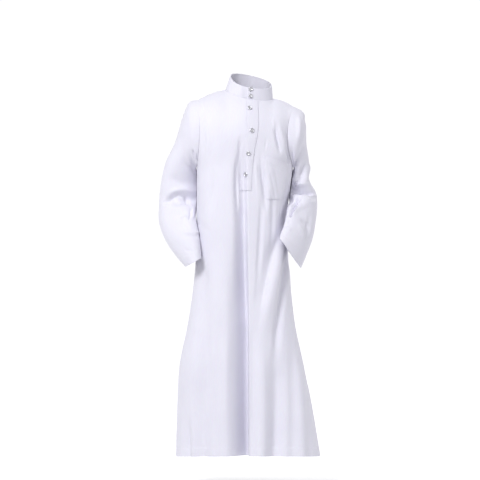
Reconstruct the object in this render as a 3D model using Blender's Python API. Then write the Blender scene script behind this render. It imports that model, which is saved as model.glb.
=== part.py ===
"""A boy's long white thobe, worn, hollow and hanging from the neck and shoulders.

The front faces -Y, +X is the wearer's left and +Z is up. Lengths in the tables are in millimetres and are
turned into metres where they are read. The origin is the middle of the neck, level with the shoulders.
Each cloth piece is a net of points, rows by columns, with a second net one cloth thickness further in.
"""

import math

import bmesh
import bpy
import numpy as np

MM = 0.001
CLOTH = 1.5 * MM
COLLAR_CLOTH = 2.0 * MM
STRIP_CLOTH = 1.3 * MM
LAID_ON_GAP = 0.9 * MM

# Pieces are drawn back from a seam by this share of its gap each, and their walls lean to meet there, but
# never by so much that the wall grows past this.
SEAM_GAP = 0.3 * MM
SEAM_DRAW = 0.75
LEAST_SEAM_LEAN = 0.55

HEM_HEIGHT = -942
ARMPIT_HEIGHT = -186
VENT_TOP = -755
FRONT_HEM_LIFT = 12

FRONT_COLUMNS = 34
BACK_COLUMNS = 26
SHOULDER_COLUMNS = 6
SKIRT_ROWS = 24
CHEST_ROWS = 11
CENTRE_CROWDING = 0.35
ROW_CROWDING = 1.35
OUTLINE_POINTS = 241
SHARP_ANGLE = 50

# The body as seen from above at each height: how far it reaches to the viewer's left and right, forward and
# back, how much it turns with the chest, and how square its outline is (2 is an ellipse).
BODY_COLUMNS = ("height", "left", "right", "front", "back", "turn", "square")
BODY = [
    (-942, -194, 184, 126, 120, 0.02, 2.1),
    (-810, -190, 162, 118, 113, 0.03, 2.2),
    (-700, -184, 140, 111, 107, 0.04, 2.3),
    (-590, -162, 117, 104, 101, 0.05, 2.4),
    (-456, -144, 103, 98, 95, 0.07, 2.5),
    (-340, -140, 95, 98, 90, 0.09, 2.5),
    (-262, -139, 103, 98, 89, 0.11, 2.5),
    (-186, -139, 113, 96, 88, 0.12, 2.5),
]

# The neckline is an ellipse that is higher at the back and on the wearer's right.
NECK_CENTRE_X = -2
NECK_CENTRE_Y = 2
NECK_HALF_WIDTH = 62
NECK_HALF_DEPTH = 52
NECK_HEIGHT = 6
NECK_SIDE_TILT = 11
NECK_BACK_TILT = 17
NECK_TURN = 0.12
SHOULDER_CROWN = 4

# How far the chest and the shoulder blades stand out from the straight line between armpit and neck level.
CHEST_BULGE = 13
BACK_BULGE = 18
# Beside the neck the cloth runs up before it turns over the shoulder, so it stands out further there.
SHOULDER_FILL_OUT = 13
SHOULDER_FILL_UP = 13
SHOULDER_FILL_SPREAD = 0.10
SHOULDER_FILL_INWARD = 0.6
SHOULDER_FILL_RISE = 1.3
BULGE_ROUNDNESS = 0.7

# How far across a panel its armhole is felt, how often the chest is evened out, over how many rows that and
# the folds die out, and how near the side seams the folds keep their depth.
ARMHOLE_REACH = 0.42
RELAXING_ROUNDS = 8
FADING_ROWS = 4
FOLD_EDGE_HOLD = 1.3

# Each sleeve section is an ellipse between an outer and an inner point, as seen from the front, and reaches
# as far forward and back of them as its depth. The first section is the armhole.
SLEEVE_COLUMNS = ("along", "outer_x", "outer_y", "outer_z", "inner_x", "inner_y", "inner_z", "deep")
RIGHT_SLEEVE = [
    (0, -137, -15, -11, -139, -15, -186, 62),
    (22, -158, -14, -17, -142, -13, -188, 61),
    (50, -176, -9, -55, -141, -2, -191, 57),
    (85, -195, -2, -118, -136, 20, -196, 52),
    (125, -222, 8, -176, -131, 30, -206, 48),
    (165, -235, 16, -238, -129, 42, -232, 45),
    (205, -239, 16, -286, -131, 26, -272, 45),
    (245, -238, 4, -335, -138, -18, -314, 46),
    (280, -221, -16, -378, -133, -50, -351, 45),
    (315, -193, -36, -418, -128, -64, -388, 43),
    (345, -167, -50, -446, -126, -72, -424, 42),
]
LEFT_SLEEVE = [
    (0, 115, 15, -26, 113, 15, -186, 60),
    (22, 139, 18, -40, 117, 17, -188, 59),
    (50, 149, 25, -71, 113, 32, -191, 57),
    (85, 148, 33, -118, 106, 48, -196, 54),
    (125, 156, 43, -174, 99, 56, -206, 50),
    (165, 158, 48, -222, 92, 58, -224, 48),
    (190, 174, 47, -250, 90, 48, -243, 48),
    (217, 178, 38, -281, 97, 12, -268, 46),
    (255, 173, 18, -330, 94, -40, -306, 42),
    (290, 163, -6, -377, 86, -66, -341, 38),
    (320, 148, -24, -414, 79, -82, -359, 35),
    (345, 132, -38, -450, 76, -94, -373, 33),
]
SLEEVE_ROWS = 20
RIGHT_ARMHOLE_INSET = 7
LEFT_ARMHOLE_INSET = -17
ARMHOLE_INSET_FADE = 60
SLEEVE_CLEARANCE = 3.4

# Within this distance of the middle, folds rise straight out instead of square to the cloth.
FOLD_LEAN_REACH = 70
# The largest folds: a path on the front or back from a high to a low point, with a sideways bend in the
# middle, its half widths to the viewer's left and right, and its depth at both ends. A trough is negative.
# The fades are the lengths over which it rises from nothing at its two ends.
FOLD_COLUMNS = (
    "high_x", "high_z", "bend", "low_x", "low_z", "left", "right", "high_depth", "low_depth",
    "high_fade", "low_fade",
)
FRONT_FOLDS = [
    (-17, -100, -2, -13, -620, 31, 13, -15, -21, 130, 240),
    (-10, -330, 2, -6, -960, 59, 3, -26, -52, 220, 1),
    (-14, -250, 3, -6, -960, 31, 5, -8, -14, 80, 1),
    (28, -560, 0, 26, -960, 24, 44, 5, 14, 160, 1),
    (100, -330, -6, 32, -650, 22, 30, 14, 8, 90, 120),
    (84, -340, -6, 22, -570, 30, 9, -6, -5, 90, 60),
    (97, -400, -4, 62, -720, 16, 18, -12, -9, 80, 120),
    (62, -640, 6, 58, -960, 30, 34, -8, -20, 120, 1),
    (118, -640, 4, 130, -960, 26, 24, 7, 12, 120, 1),
    (-122, -390, 6, -126, -960, 34, 30, -5, -12, 120, 1),
    (-160, -800, 0, -162, -960, 20, 12, -4, -12, 80, 1),
    (22, -172, 4, 42, -320, 12, 12, -5, -5, 50, 70),
    (40, -160, 4, 62, -290, 12, 14, 4, 4, 50, 70),
    (64, -66, 0, 82, -162, 13, 13, -4, -5, 40, 30),
    (104, -214, 6, 84, -352, 22, 14, -12, -14, 60, 60),
    (-96, -190, 4, -108, -330, 20, 18, -4, -4, 60, 70),
]
BACK_FOLDS = [
    (-52, -150, -10, -84, -960, 34, 40, -6, -26, 200, 1),
    (14, -120, 8, 20, -960, 46, 36, -5, -30, 240, 1),
    (66, -200, 6, 96, -960, 34, 34, -6, -22, 200, 1),
    (-14, -320, 4, -34, -960, 30, 26, 4, 12, 200, 1),
    (-130, -420, 0, -142, -960, 24, 28, -4, -16, 160, 1),
    (128, -560, 0, 140, -960, 20, 22, -3, -12, 160, 1),
]

# Folds of a sleeve: how far along it, and which part of a turn from its outer edge through the front, with
# half widths along and around, the skew along the sleeve for a whole turn, and the depth.
SLEEVE_FOLD_COLUMNS = ("along", "turn", "long", "wide", "skew", "depth")
RIGHT_SLEEVE_FOLDS = [
    (200, 0.27, 11, 0.24, 40, -13),
    (236, 0.24, 15, 0.16, -50, -5),
    (177, 0.28, 14, 0.22, 50, 5),
    (220, 0.30, 10, 0.16, 30, 6),
    (118, 0.34, 14, 0.15, 120, -5),
    (196, 0.74, 18, 0.20, -60, -6),
    (150, 0.70, 16, 0.18, 80, -5),
]
LEFT_SLEEVE_FOLDS = [
    (190, 0.27, 11, 0.25, -40, -17),
    (164, 0.22, 13, 0.22, -60, 8),
    (212, 0.20, 10, 0.20, -40, 9),
    (216, 0.42, 16, 0.14, 0, -10),
    (246, 0.24, 14, 0.16, -40, -6),
    (180, 0.74, 18, 0.20, 60, -6),
    (110, 0.70, 16, 0.18, -80, -5),
]

# Openings left in the side seams: the pocket mouths and, below, the vents.
POCKET_MOUTH_TOP = -330
POCKET_MOUTH_LOW = -455
POCKET_MOUTH_GAPE = 9
VENT_GAPE = 14
VENT_ROUNDNESS = 0.8

# The stand collar, one band round the neck, its ends lapped at the front.
COLLAR_HEIGHT = 35
COLLAR_LEAN = 3
COLLAR_LEAN_RIGHT = 9
COLLAR_FRONT_DIP = 6
COLLAR_SHARES = (0.0, 0.33, 0.66, 1.0)
COLLAR_LAP_GAPS = 1.5
COLLAR_END_COLUMNS = 8
COLLAR_UNDER_END_X = 16
COLLAR_TOP_END_X = -8
COLLAR_CORNER = 6
# In radians round the neck: how long the under end stays inside the top one, and how soon it comes out.
COLLAR_LAP = 0.44
COLLAR_STEP = 0.25
COLLAR_COLUMNS = 50

# The placket runs down from the neckline on a path that swings to the wearer's right.
PLACKET_WIDTH = 30
PLACKET_COLUMNS = ("height", "middle")
PLACKET_PATH = [
    (-250, -12),
    (-207, -10.5),
    (-152, -5),
    (-95, 4.6),
    (-16, 5),
]
PLACKET_SQUARES = (10, 44)

# The chest pocket lies on the wearer's left breast, its mouth sloping down towards the arm.
POCKET_TOP_IN = (39, -160)
POCKET_TOP_OUT = (101, -180)
POCKET_LOW_IN = (36, -272)
POCKET_LOW_OUT = (86, -271)
POCKET_LOW_CORNER = 12
POCKET_CORNER_SHARE = 0.18
POCKET_FULLNESS = 1.6
POCKET_SQUARES = (12, 13)

# Metal ring snaps, two on the collar and four on the placket.
SNAP_RADIUS = 6
SNAP_HEIGHT = 2.4
SNAP_SIDES = 12
COLLAR_SNAPS = [(1.3, 15), (1.0, -3)]
SNAP_PROFILE = [
    (1.0, 0.0),
    (1.0, 0.45),
    (0.86, 0.95),
    (0.70, 1.0),
    (0.52, 0.62),
    (0.30, 0.50),
]
PLACKET_SNAPS = [(-1, -36.7), (4.6, -95.4), (-4.7, -154), (-11, -208.3)]


def column(table, names, name, at):
    """One named column of a table, read along its first column on a smooth curve through the rows."""
    rows = sorted(table)
    keys = np.array([row[0] for row in rows], float)
    values = np.array([row[names.index(name)] for row in rows], float)
    slopes = np.gradient(values, keys)
    at = np.clip(np.asarray(at, float), keys[0], keys[-1])
    low = np.clip(np.searchsorted(keys, at, side="right") - 1, 0, len(keys) - 2)
    span = keys[low + 1] - keys[low]
    t = (at - keys[low]) / span
    return (
        (1 + 2 * t) * (1 - t) ** 2 * values[low]
        + t * (1 - t) ** 2 * span * slopes[low]
        + t**2 * (3 - 2 * t) * values[low + 1]
        + t**2 * (t - 1) * span * slopes[low + 1]
    )


def ease(t):
    """Rises smoothly from 0 to 1."""
    t = np.clip(t, 0, 1)
    return t * t * (3 - 2 * t)


def crowded(columns):
    """Fractions across a panel, closer together at its middle, where the deep folds are."""
    even = np.linspace(0, 1, columns + 1)
    return even + CENTRE_CROWDING * np.sin(2 * math.pi * even) / (2 * math.pi)


def skirt_heights():
    """The heights of the rows from hem to armpit, closer together towards the chest."""
    share = np.linspace(1, 0, SKIRT_ROWS + 1) ** ROW_CROWDING
    return ARMPIT_HEIGHT + (HEM_HEIGHT - ARMPIT_HEIGHT) * share


def half_section(height, side, fractions):
    """Half of the body's outline at one height, from the viewer's left seam to the right one."""
    left, right, depth, turn, square = (
        float(column(BODY, BODY_COLUMNS, name, height))
        for name in ("left", "right", "front" if side < 0 else "back", "turn", "square")
    )
    middle = (left + right) / 2
    angle = np.linspace(0, math.pi, OUTLINE_POINTS)
    across = -np.sign(np.cos(angle)) * np.abs(np.cos(angle)) ** (2 / square) * (right - left) / 2
    forward = side * depth * np.sin(angle) ** (2 / square) + turn * across
    points = np.stack([middle + across, forward], axis=1)
    length = np.concatenate([[0], np.cumsum(np.linalg.norm(np.diff(points, axis=0), axis=1))])
    at = np.asarray(fractions) * length[-1]
    return np.stack([np.interp(at, length, points[:, k]) for k in range(2)], axis=1), length[-1]


def seam_gape(height):
    """How far the front's edge stands back from the side seam, at a pocket mouth or a vent."""
    mouth = np.clip((POCKET_MOUTH_TOP - height) / (POCKET_MOUTH_TOP - POCKET_MOUTH_LOW), 0, 1)
    vent = np.clip((VENT_TOP - height) / (VENT_TOP - HEM_HEIGHT), 0, 1)
    return POCKET_MOUTH_GAPE * np.sin(math.pi * mouth) + VENT_GAPE * vent**VENT_ROUNDNESS


def armhole(table, inset, side, share):
    """The armhole from armpit to shoulder, by the front or the back."""
    row = dict(zip(SLEEVE_COLUMNS, table[0]))
    outer = np.array([row["outer_x"], row["outer_y"], row["outer_z"]], float)
    inner = np.array([row["inner_x"], row["inner_y"], row["inner_z"]], float)
    angle = math.pi * (1 - np.asarray(share))[:, None]
    points = (outer + inner) / 2 + (outer - inner) / 2 * np.cos(angle)
    points = points + np.array([0, side * row["deep"], 0]) * np.sin(angle)
    return points + np.array([inset, 0, 0]) * np.sin(angle) ** 2


def neck_point(angle, shrink=0.0):
    """A point of the neckline. Angle 0 is the wearer's right, a quarter turn is the front."""
    across = -np.cos(angle)
    forward = -np.sin(angle)
    return np.stack(
        [
            NECK_CENTRE_X + (NECK_HALF_WIDTH - shrink) * across,
            NECK_CENTRE_Y + (NECK_HALF_DEPTH - shrink) * forward + NECK_TURN * NECK_HALF_WIDTH * across,
            NECK_HEIGHT - NECK_SIDE_TILT * across + NECK_BACK_TILT * forward,
        ],
        axis=-1,
    )


def top_edge(side, columns, tips):
    """The top of a panel: one shoulder seam, its half of the neckline, and the other shoulder seam."""
    neck_angles = np.linspace(0, math.pi, columns - 2 * SHOULDER_COLUMNS + 1)
    neck = neck_point(-side * neck_angles)
    share = np.linspace(0, 1, SHOULDER_COLUMNS + 1)[:-1, None]
    crown = np.array([0, 0, SHOULDER_CROWN]) * np.sin(math.pi * share)
    first = tips[0] * (1 - share) + neck[0] * share + crown
    last = tips[1] * (1 - share) + neck[-1] * share + crown
    return np.concatenate([first, neck, last[::-1]])


def relaxed(net, first_row):
    """Evens out the net above one row, leaving its edges where they are."""
    for _ in range(RELAXING_ROUNDS):
        middle = (net[:-2, 1:-1] + net[2:, 1:-1] + net[1:-1, :-2] + net[1:-1, 2:]) / 4
        share = ease((np.arange(1, len(net) - 1) - first_row) / FADING_ROWS + 1)[:, None, None] / 2
        net[1:-1, 1:-1] += (middle - net[1:-1, 1:-1]) * share
    return net


def panel_net(side, columns):
    """The front (side -1) or back (side 1) without its folds, in millimetres."""
    fractions = crowded(columns)
    rows = []
    for height in skirt_heights():
        outline, length = half_section(height, side, [0, 1])
        gape = seam_gape(height) / length if side < 0 else 0.0
        outline, length = half_section(height, side, gape + (1 - 2 * gape) * fractions)
        low = (ARMPIT_HEIGHT - height) / (ARMPIT_HEIGHT - HEM_HEIGHT)
        lift = FRONT_HEM_LIFT * low**3 * np.sin(math.pi * fractions) if side < 0 else 0 * fractions
        rows.append(np.column_stack([outline, height + lift]))
    share = np.linspace(0, 1, CHEST_ROWS + 1)
    left = armhole(RIGHT_SLEEVE, RIGHT_ARMHOLE_INSET, side, share)
    right = armhole(LEFT_SLEEVE, LEFT_ARMHOLE_INSET, side, share)
    low = rows[-1]
    top = top_edge(side, columns, (left[-1], right[-1]))
    bulge = (CHEST_BULGE if side < 0 else BACK_BULGE) * np.sin(math.pi * fractions) ** BULGE_ROUNDNESS
    past_neck = np.minimum(fractions, 1 - fractions) - fractions[SHOULDER_COLUMNS]
    fill = np.exp(-((past_neck / np.where(past_neck > 0, SHOULDER_FILL_INWARD, SHOULDER_FILL_SPREAD)) ** 2))
    from_left = 1 - ease(fractions / ARMHOLE_REACH)
    from_right = 1 - ease((1 - fractions) / ARMHOLE_REACH)
    for index, t in enumerate(share[1:], 1):
        row = low * (1 - t) + top * t
        to_left = left[index] - row[0]
        to_right = right[index] - row[-1]
        row = row + from_left[:, None] * to_left + from_right[:, None] * to_right
        filled = fill * math.sin(math.pi * t**SHOULDER_FILL_RISE)
        row[:, 1] += side * (bulge * math.sin(math.pi * t) + SHOULDER_FILL_OUT * filled)
        row[:, 2] += SHOULDER_FILL_UP * filled
        rows.append(row)
    return relaxed(np.array(rows), SKIRT_ROWS)


def normals_of(net, closed=False):
    """Unit normals at the points of a net."""
    along = np.gradient(net, axis=0)
    if closed:
        across = np.roll(net, -1, axis=1) - np.roll(net, 1, axis=1)
    else:
        across = np.gradient(net, axis=1)
    normal = np.cross(across, along)
    return normal / np.linalg.norm(normal, axis=2, keepdims=True)


def outward_normals(net, side):
    return normals_of(net) * (1 if side < 0 else -1)


def fold_height(folds, x, z):
    """How far the folds lift a point of the front or back at x and z."""
    lift = np.zeros_like(x)
    for row in folds:
        fold = dict(zip(FOLD_COLUMNS, row))
        t = (fold["high_z"] - z) / (fold["high_z"] - fold["low_z"])
        inside = np.clip(t, 0, 1)
        path = fold["high_x"] + (fold["low_x"] - fold["high_x"]) * inside
        path = path + 4 * fold["bend"] * inside * (1 - inside)
        width = np.where(x < path, fold["left"], fold["right"])
        across = np.clip(np.abs(x - path) / width, 0, 1)
        depth = fold["high_depth"] + (fold["low_depth"] - fold["high_depth"]) * inside
        ends = ease((fold["high_z"] - z) / fold["high_fade"]) * ease((z - fold["low_z"]) / fold["low_fade"])
        lift = lift + depth * ends * 0.5 * (1 + np.cos(math.pi * across))
    return lift


def straight_out(normals, x):
    """The ways in which folds rise: near the middle of a panel they lean neither left nor right."""
    lean = 1 - np.exp(-((x / FOLD_LEAN_REACH) ** 2))
    ways = normals * np.stack([lean, np.ones_like(x), np.ones_like(x)], axis=-1)
    return ways / np.linalg.norm(ways, axis=-1, keepdims=True)


def folded_panel(side, columns, folds):
    """The panel with its folds, which die out at its seams."""
    net = panel_net(side, columns)
    normals = outward_normals(net, side)
    edge = np.minimum(1, FOLD_EDGE_HOLD * np.sin(math.pi * crowded(columns)) ** 0.5)[None, :]
    top = ease((len(net) - 1 - np.arange(len(net))) / FADING_ROWS)[:, None]
    lift = fold_height(folds, net[:, :, 0], net[:, :, 2]) * edge * top
    return net + straight_out(normals, net[:, :, 0]) * lift[:, :, None]


def clear_of_body(points):
    """Moves sleeve points that would lie in the body out to just clear of its side."""
    height = points[:, 2]
    left, right, front, back, turn, square = (
        column(BODY, BODY_COLUMNS, name, height) for name in BODY_COLUMNS[1:]
    )
    middle = (left + right) / 2
    x = points[:, 0] - middle
    y = points[:, 1] - turn * x
    ridges = np.where(
        y < 0,
        fold_height(FRONT_FOLDS, points[:, 0], height),
        fold_height(BACK_FOLDS, points[:, 0], height),
    )
    clearance = SLEEVE_CLEARANCE + np.maximum(ridges, 0)
    half = (right - left) / 2 + clearance
    depth = np.where(y < 0, front, back) + clearance
    level = (np.abs(x) / half) ** square + (np.abs(y) / depth) ** square
    grow = np.where(level < 1, np.maximum(level, 1e-6) ** (-1 / square), 1)
    grow = np.where(height < ARMPIT_HEIGHT + 1, grow, 1)
    return np.column_stack([middle + x * grow, y * grow + turn * x * grow, height])


def sleeve_net(table, inset, folds):
    """A sleeve, from its armhole to its cuff, each row one turn: outer edge, front, inner edge, back."""
    share = np.linspace(0, 1, CHEST_ROWS + 1)
    front = armhole(table, inset, -1, share)[::-1]
    back = armhole(table, inset, 1, share)
    rows = [np.concatenate([front, back[1:-1]])]
    turn = np.arange(2 * CHEST_ROWS) / (2 * CHEST_ROWS)
    angle = 2 * math.pi * turn[:, None]
    longest = table[-1][0]
    for along in np.linspace(0, longest, SLEEVE_ROWS + 1)[1:]:
        cell = {name: float(column(table, SLEEVE_COLUMNS, name, along)) for name in SLEEVE_COLUMNS}
        outer = np.array([cell["outer_x"], cell["outer_y"], cell["outer_z"]])
        inner = np.array([cell["inner_x"], cell["inner_y"], cell["inner_z"]])
        ring = (outer + inner) / 2 + (outer - inner) / 2 * np.cos(angle)
        ring = ring - np.array([0, cell["deep"], 0]) * np.sin(angle)
        start = inset * max(0.0, 1 - along / ARMHOLE_INSET_FADE) ** 2
        ring = ring + np.array([start, 0, 0]) * np.sin(angle) ** 2
        rows.append(ring)
    net = np.array(rows)
    normals = sleeve_normals(net)
    along = np.linspace(0, longest, SLEEVE_ROWS + 1)[:, None]
    lift = np.zeros(net.shape[:2])
    for row in folds:
        fold = dict(zip(SLEEVE_FOLD_COLUMNS, row))
        around = (turn[None, :] - fold["turn"] + 0.5) % 1 - 0.5
        length = (along - fold["along"] - fold["skew"] * around) / fold["long"]
        across = np.clip(np.abs(around) / fold["wide"], 0, 1)
        lift += fold["depth"] * np.exp(-(length**2)) * 0.5 * (1 + np.cos(math.pi * across))
    net = net + normals * lift[:, :, None]
    for index in range(1, len(net)):
        net[index] = clear_of_body(net[index])
    return net


def sleeve_normals(net):
    normals = normals_of(net, closed=True)
    middle = net.mean(axis=1, keepdims=True)
    outward = np.sum(normals * (net - middle)) > 0
    return normals if outward else -normals


def shared(mine, theirs):
    """The direction and length factor of the wall where two pieces meet at a seam."""
    both = mine + theirs
    both = both / np.maximum(np.linalg.norm(both, axis=-1, keepdims=True), 1e-6)
    lean = np.sum(both * mine, axis=-1, keepdims=True)
    return both / np.maximum(lean, LEAST_SEAM_LEAN)


def drawn_back(net, closed, edges):
    """Draws the named edges of a net back by half a seam gap, towards the next row or column."""
    net = net.copy()
    ends = {"low": (0, 0, 1), "high": (0, -1, -2), "left": (1, 0, 1), "right": (1, -1, -2)}
    for edge in edges:
        axis, at, beside = ends[edge]
        rim = net[at] if axis == 0 else net[:, at]
        near = net[beside] if axis == 0 else net[:, beside]
        step = near - rim
        step = step / np.linalg.norm(step, axis=-1, keepdims=True) * (SEAM_DRAW * SEAM_GAP / MM)
        if axis == 0:
            net[at] = rim + step
        else:
            net[:, at] = rim + step
    return net


def principled(name, colour, roughness, metallic):
    material = bpy.data.materials.new(name)
    material.use_nodes = True
    shader = material.node_tree.nodes["Principled BSDF"]
    shader.inputs["Base Color"].default_value = (*colour, 1.0)
    shader.inputs["Roughness"].default_value = roughness
    shader.inputs["Metallic"].default_value = metallic
    return material


def add_object(name, points, faces, material):
    """Makes one closed object from points in millimetres, its faces pointing out."""
    mesh = bpy.data.meshes.new(name)
    mesh.from_pydata([tuple(p * MM) for p in points], [], faces)
    shape = bmesh.new()
    shape.from_mesh(mesh)
    bmesh.ops.triangulate(shape, faces=shape.faces[:], quad_method="SHORT_EDGE")
    bmesh.ops.recalc_face_normals(shape, faces=shape.faces[:])
    shape.to_mesh(mesh)
    shape.free()
    mesh.shade_smooth()
    mesh.set_sharp_from_angle(angle=math.radians(SHARP_ANGLE))
    mesh.materials.append(material)
    made = bpy.data.objects.new(name, mesh)
    bpy.context.scene.collection.objects.link(made)
    return made


def cloth_piece(name, outer, inner, material, closed=False):
    """Closes an outer and an inner net into one solid wall of cloth."""
    rows, columns = outer.shape[:2]
    points = np.concatenate([outer.reshape(-1, 3), inner.reshape(-1, 3)])
    under = rows * columns
    faces = []
    for r in range(rows - 1):
        for c in range(columns if closed else columns - 1):
            d = (c + 1) % columns
            quad = [r * columns + c, r * columns + d, (r + 1) * columns + d, (r + 1) * columns + c]
            faces.append(quad)
            faces.append([under + i for i in reversed(quad)])
    rims = [[r * columns + c for c in range(columns)] for r in (0, rows - 1)]
    if not closed:
        rims += [[r * columns + c for r in range(rows)] for c in (0, columns - 1)]
    for rim in rims:
        loop = rim + [rim[0]] if closed else rim
        for a, b in zip(loop, loop[1:]):
            faces.append([a, b, under + b, under + a])
    return add_object(name, points, faces, material)


def find_on_front(net, normals, x, z):
    """The point of the front at x and height z, and the normal there."""
    rows, columns = net.shape[:2]
    steps = np.arange(columns)
    across = np.array([np.interp(x, net[r, :, 0], steps) for r in range(rows)])
    heights = np.array([np.interp(across[r], steps, net[r, :, 2]) for r in range(rows)])
    row = float(np.interp(z, heights, np.arange(rows)))
    r = min(int(row), rows - 2)
    t = row - r
    place = across[r] * (1 - t) + across[r + 1] * t
    c = min(int(place), columns - 2)
    u = place - c
    found = []
    for field in (net, normals):
        low = field[r, c] * (1 - u) + field[r, c + 1] * u
        high = field[r + 1, c] * (1 - u) + field[r + 1, c + 1] * u
        found.append(low * (1 - t) + high * t)
    return found[0], found[1] / np.linalg.norm(found[1])


def snap(name, place, normal, material):
    """A pressed metal ring snap: a low cap with a raised rim and a dished middle."""
    normal = normal / np.linalg.norm(normal)
    side = np.cross([0, 0, 1], normal)
    side = side / np.linalg.norm(side)
    up = np.cross(normal, side)
    points = []
    for radius, height in SNAP_PROFILE:
        for k in range(SNAP_SIDES):
            angle = 2 * math.pi * k / SNAP_SIDES
            turned = side * math.cos(angle) + up * math.sin(angle)
            points.append(place + turned * radius * SNAP_RADIUS + normal * height * SNAP_HEIGHT)
    faces = [list(range(SNAP_SIDES))]
    for ring in range(len(SNAP_PROFILE) - 1):
        for k in range(SNAP_SIDES):
            a = ring * SNAP_SIDES + k
            b = ring * SNAP_SIDES + (k + 1) % SNAP_SIDES
            faces.append([a, b, b + SNAP_SIDES, a + SNAP_SIDES])
    last = (len(SNAP_PROFILE) - 1) * SNAP_SIDES
    faces.append([last + k for k in reversed(range(SNAP_SIDES))])
    return add_object(name, np.array(points), faces, material)


def make_body_and_sleeves(cloth):
    """The front, the back and the sleeves, whose walls share their directions along the seams."""
    front = folded_panel(-1, FRONT_COLUMNS, FRONT_FOLDS)
    back = folded_panel(1, BACK_COLUMNS, BACK_FOLDS)
    sleeves = {
        "sleeve_wearer_right": sleeve_net(RIGHT_SLEEVE, RIGHT_ARMHOLE_INSET, RIGHT_SLEEVE_FOLDS),
        "sleeve_wearer_left": sleeve_net(LEFT_SLEEVE, LEFT_ARMHOLE_INSET, LEFT_SLEEVE_FOLDS),
    }
    walls = {"front": outward_normals(front, -1), "back": outward_normals(back, 1)}
    plain = {name: field.copy() for name, field in walls.items()}
    for edge in (0, -1):
        for r in range(SKIRT_ROWS):
            walls["front"][r, edge] = shared(plain["front"][r, edge], plain["back"][r, edge])
            walls["back"][r, edge] = shared(plain["back"][r, edge], plain["front"][r, edge])
        for c in range(1, SHOULDER_COLUMNS + 1):
            at = c if edge == 0 else -1 - c
            walls["front"][-1, at] = shared(plain["front"][-1, at], plain["back"][-1, at])
            walls["back"][-1, at] = shared(plain["back"][-1, at], plain["front"][-1, at])
    for (name, net), edge in zip(sleeves.items(), (0, -1)):
        wall = sleeve_normals(net)
        ring = wall[0].copy()
        for j in range(CHEST_ROWS + 1):
            row = SKIRT_ROWS + j
            front_at = CHEST_ROWS - j
            back_at = (CHEST_ROWS + j) % (2 * CHEST_ROWS)
            ends = j in (0, CHEST_ROWS)
            body = plain["front"][row, edge] + plain["back"][row, edge]
            for panel, at in (("front", front_at), ("back", back_at)):
                mine = plain[panel][row, edge]
                other = body / np.linalg.norm(body) if ends else mine
                walls[panel][row, edge] = shared(other, ring[at])
                wall[0, at] = shared(ring[at], other)
        outer = drawn_back(net, True, ["low"])
        inner = drawn_back(net - wall * (CLOTH / MM), True, ["low"])
        cloth_piece(name, outer, inner, cloth, closed=True)
    for name, net in (("front", front), ("back", back)):
        edges = ["left", "right", "high"]
        outer = drawn_back(net, False, edges)
        inner = drawn_back(net - walls[name] * (CLOTH / MM), False, edges)
        cloth_piece(name + "_panel", outer, inner, cloth)
    return front, plain["front"]


def make_collar(cloth):
    """The stand collar, from its under end at the front round the neck to its top end."""
    start = math.pi / 2 + math.asin((COLLAR_UNDER_END_X - NECK_CENTRE_X) / NECK_HALF_WIDTH)
    stop = math.pi / 2 + math.asin((COLLAR_TOP_END_X - NECK_CENTRE_X) / NECK_HALF_WIDTH) - 2 * math.pi
    angle = np.linspace(start, stop, COLLAR_COLUMNS + 1)
    under = 1 - ease((start - angle - COLLAR_LAP) / COLLAR_STEP)
    shrink = under * (COLLAR_CLOTH + COLLAR_LAP_GAPS * LAID_ON_GAP) / MM
    low = neck_point(angle)
    length = np.concatenate([[0], np.cumsum(np.linalg.norm(np.diff(low, axis=0), axis=1))])
    to_end = np.minimum(length, length[-1] - length)
    inside = np.clip(COLLAR_CORNER - to_end, 0, COLLAR_CORNER)
    corner = COLLAR_CORNER - np.sqrt(COLLAR_CORNER**2 - inside**2)
    lean = COLLAR_LEAN + COLLAR_LEAN_RIGHT * np.clip(np.cos(angle), 0, 1)
    height = COLLAR_HEIGHT - COLLAR_FRONT_DIP * np.clip(np.sin(angle), 0, 1) - corner
    rows = []
    for share in COLLAR_SHARES:
        row = np.array([neck_point(a, s) for a, s in zip(angle, shrink + lean * share)])
        row[:, 2] = low[:, 2] + LAID_ON_GAP / MM + share * height
        rows.append(row)
    net = np.array(rows)
    normals = normals_of(net)
    middle = neck_point(np.array([0.0, math.pi])).mean(axis=0)
    if np.sum(normals * (net - middle)) < 0:
        normals = -normals
    cloth_piece("collar_band", net, net - normals * (COLLAR_CLOTH / MM), cloth)
    return net, normals


def lay_on_front(name, front, normals, across, heights, raised, cloth):
    """A piece laid on the front: its own net of points, moved out from the front's."""
    outer = np.zeros((*across.shape, 3))
    inner = np.zeros((*across.shape, 3))
    facing = np.zeros((*across.shape, 3))
    for index in np.ndindex(across.shape):
        point, normal = find_on_front(front, normals, across[index], heights[index])
        lift = LAID_ON_GAP / MM + raised[index]
        inner[index] = point + normal * lift
        outer[index] = point + normal * (lift + STRIP_CLOTH / MM)
        facing[index] = normal
    cloth_piece(name, outer, inner, cloth)
    return outer, facing


def make_placket(front, normals, cloth):
    """The strip down the opening, from just under the collar."""
    columns, rows = PLACKET_SQUARES
    low, high = PLACKET_PATH[0][0], PLACKET_PATH[-1][0]
    heights, offsets = np.meshgrid(
        np.linspace(low, high, rows + 1), np.linspace(-0.5, 0.5, columns + 1) * PLACKET_WIDTH, indexing="ij"
    )
    across = column(PLACKET_PATH, PLACKET_COLUMNS, "middle", heights) + offsets
    return lay_on_front("front_placket", front, normals, across, heights, 0 * across, cloth)


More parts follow.
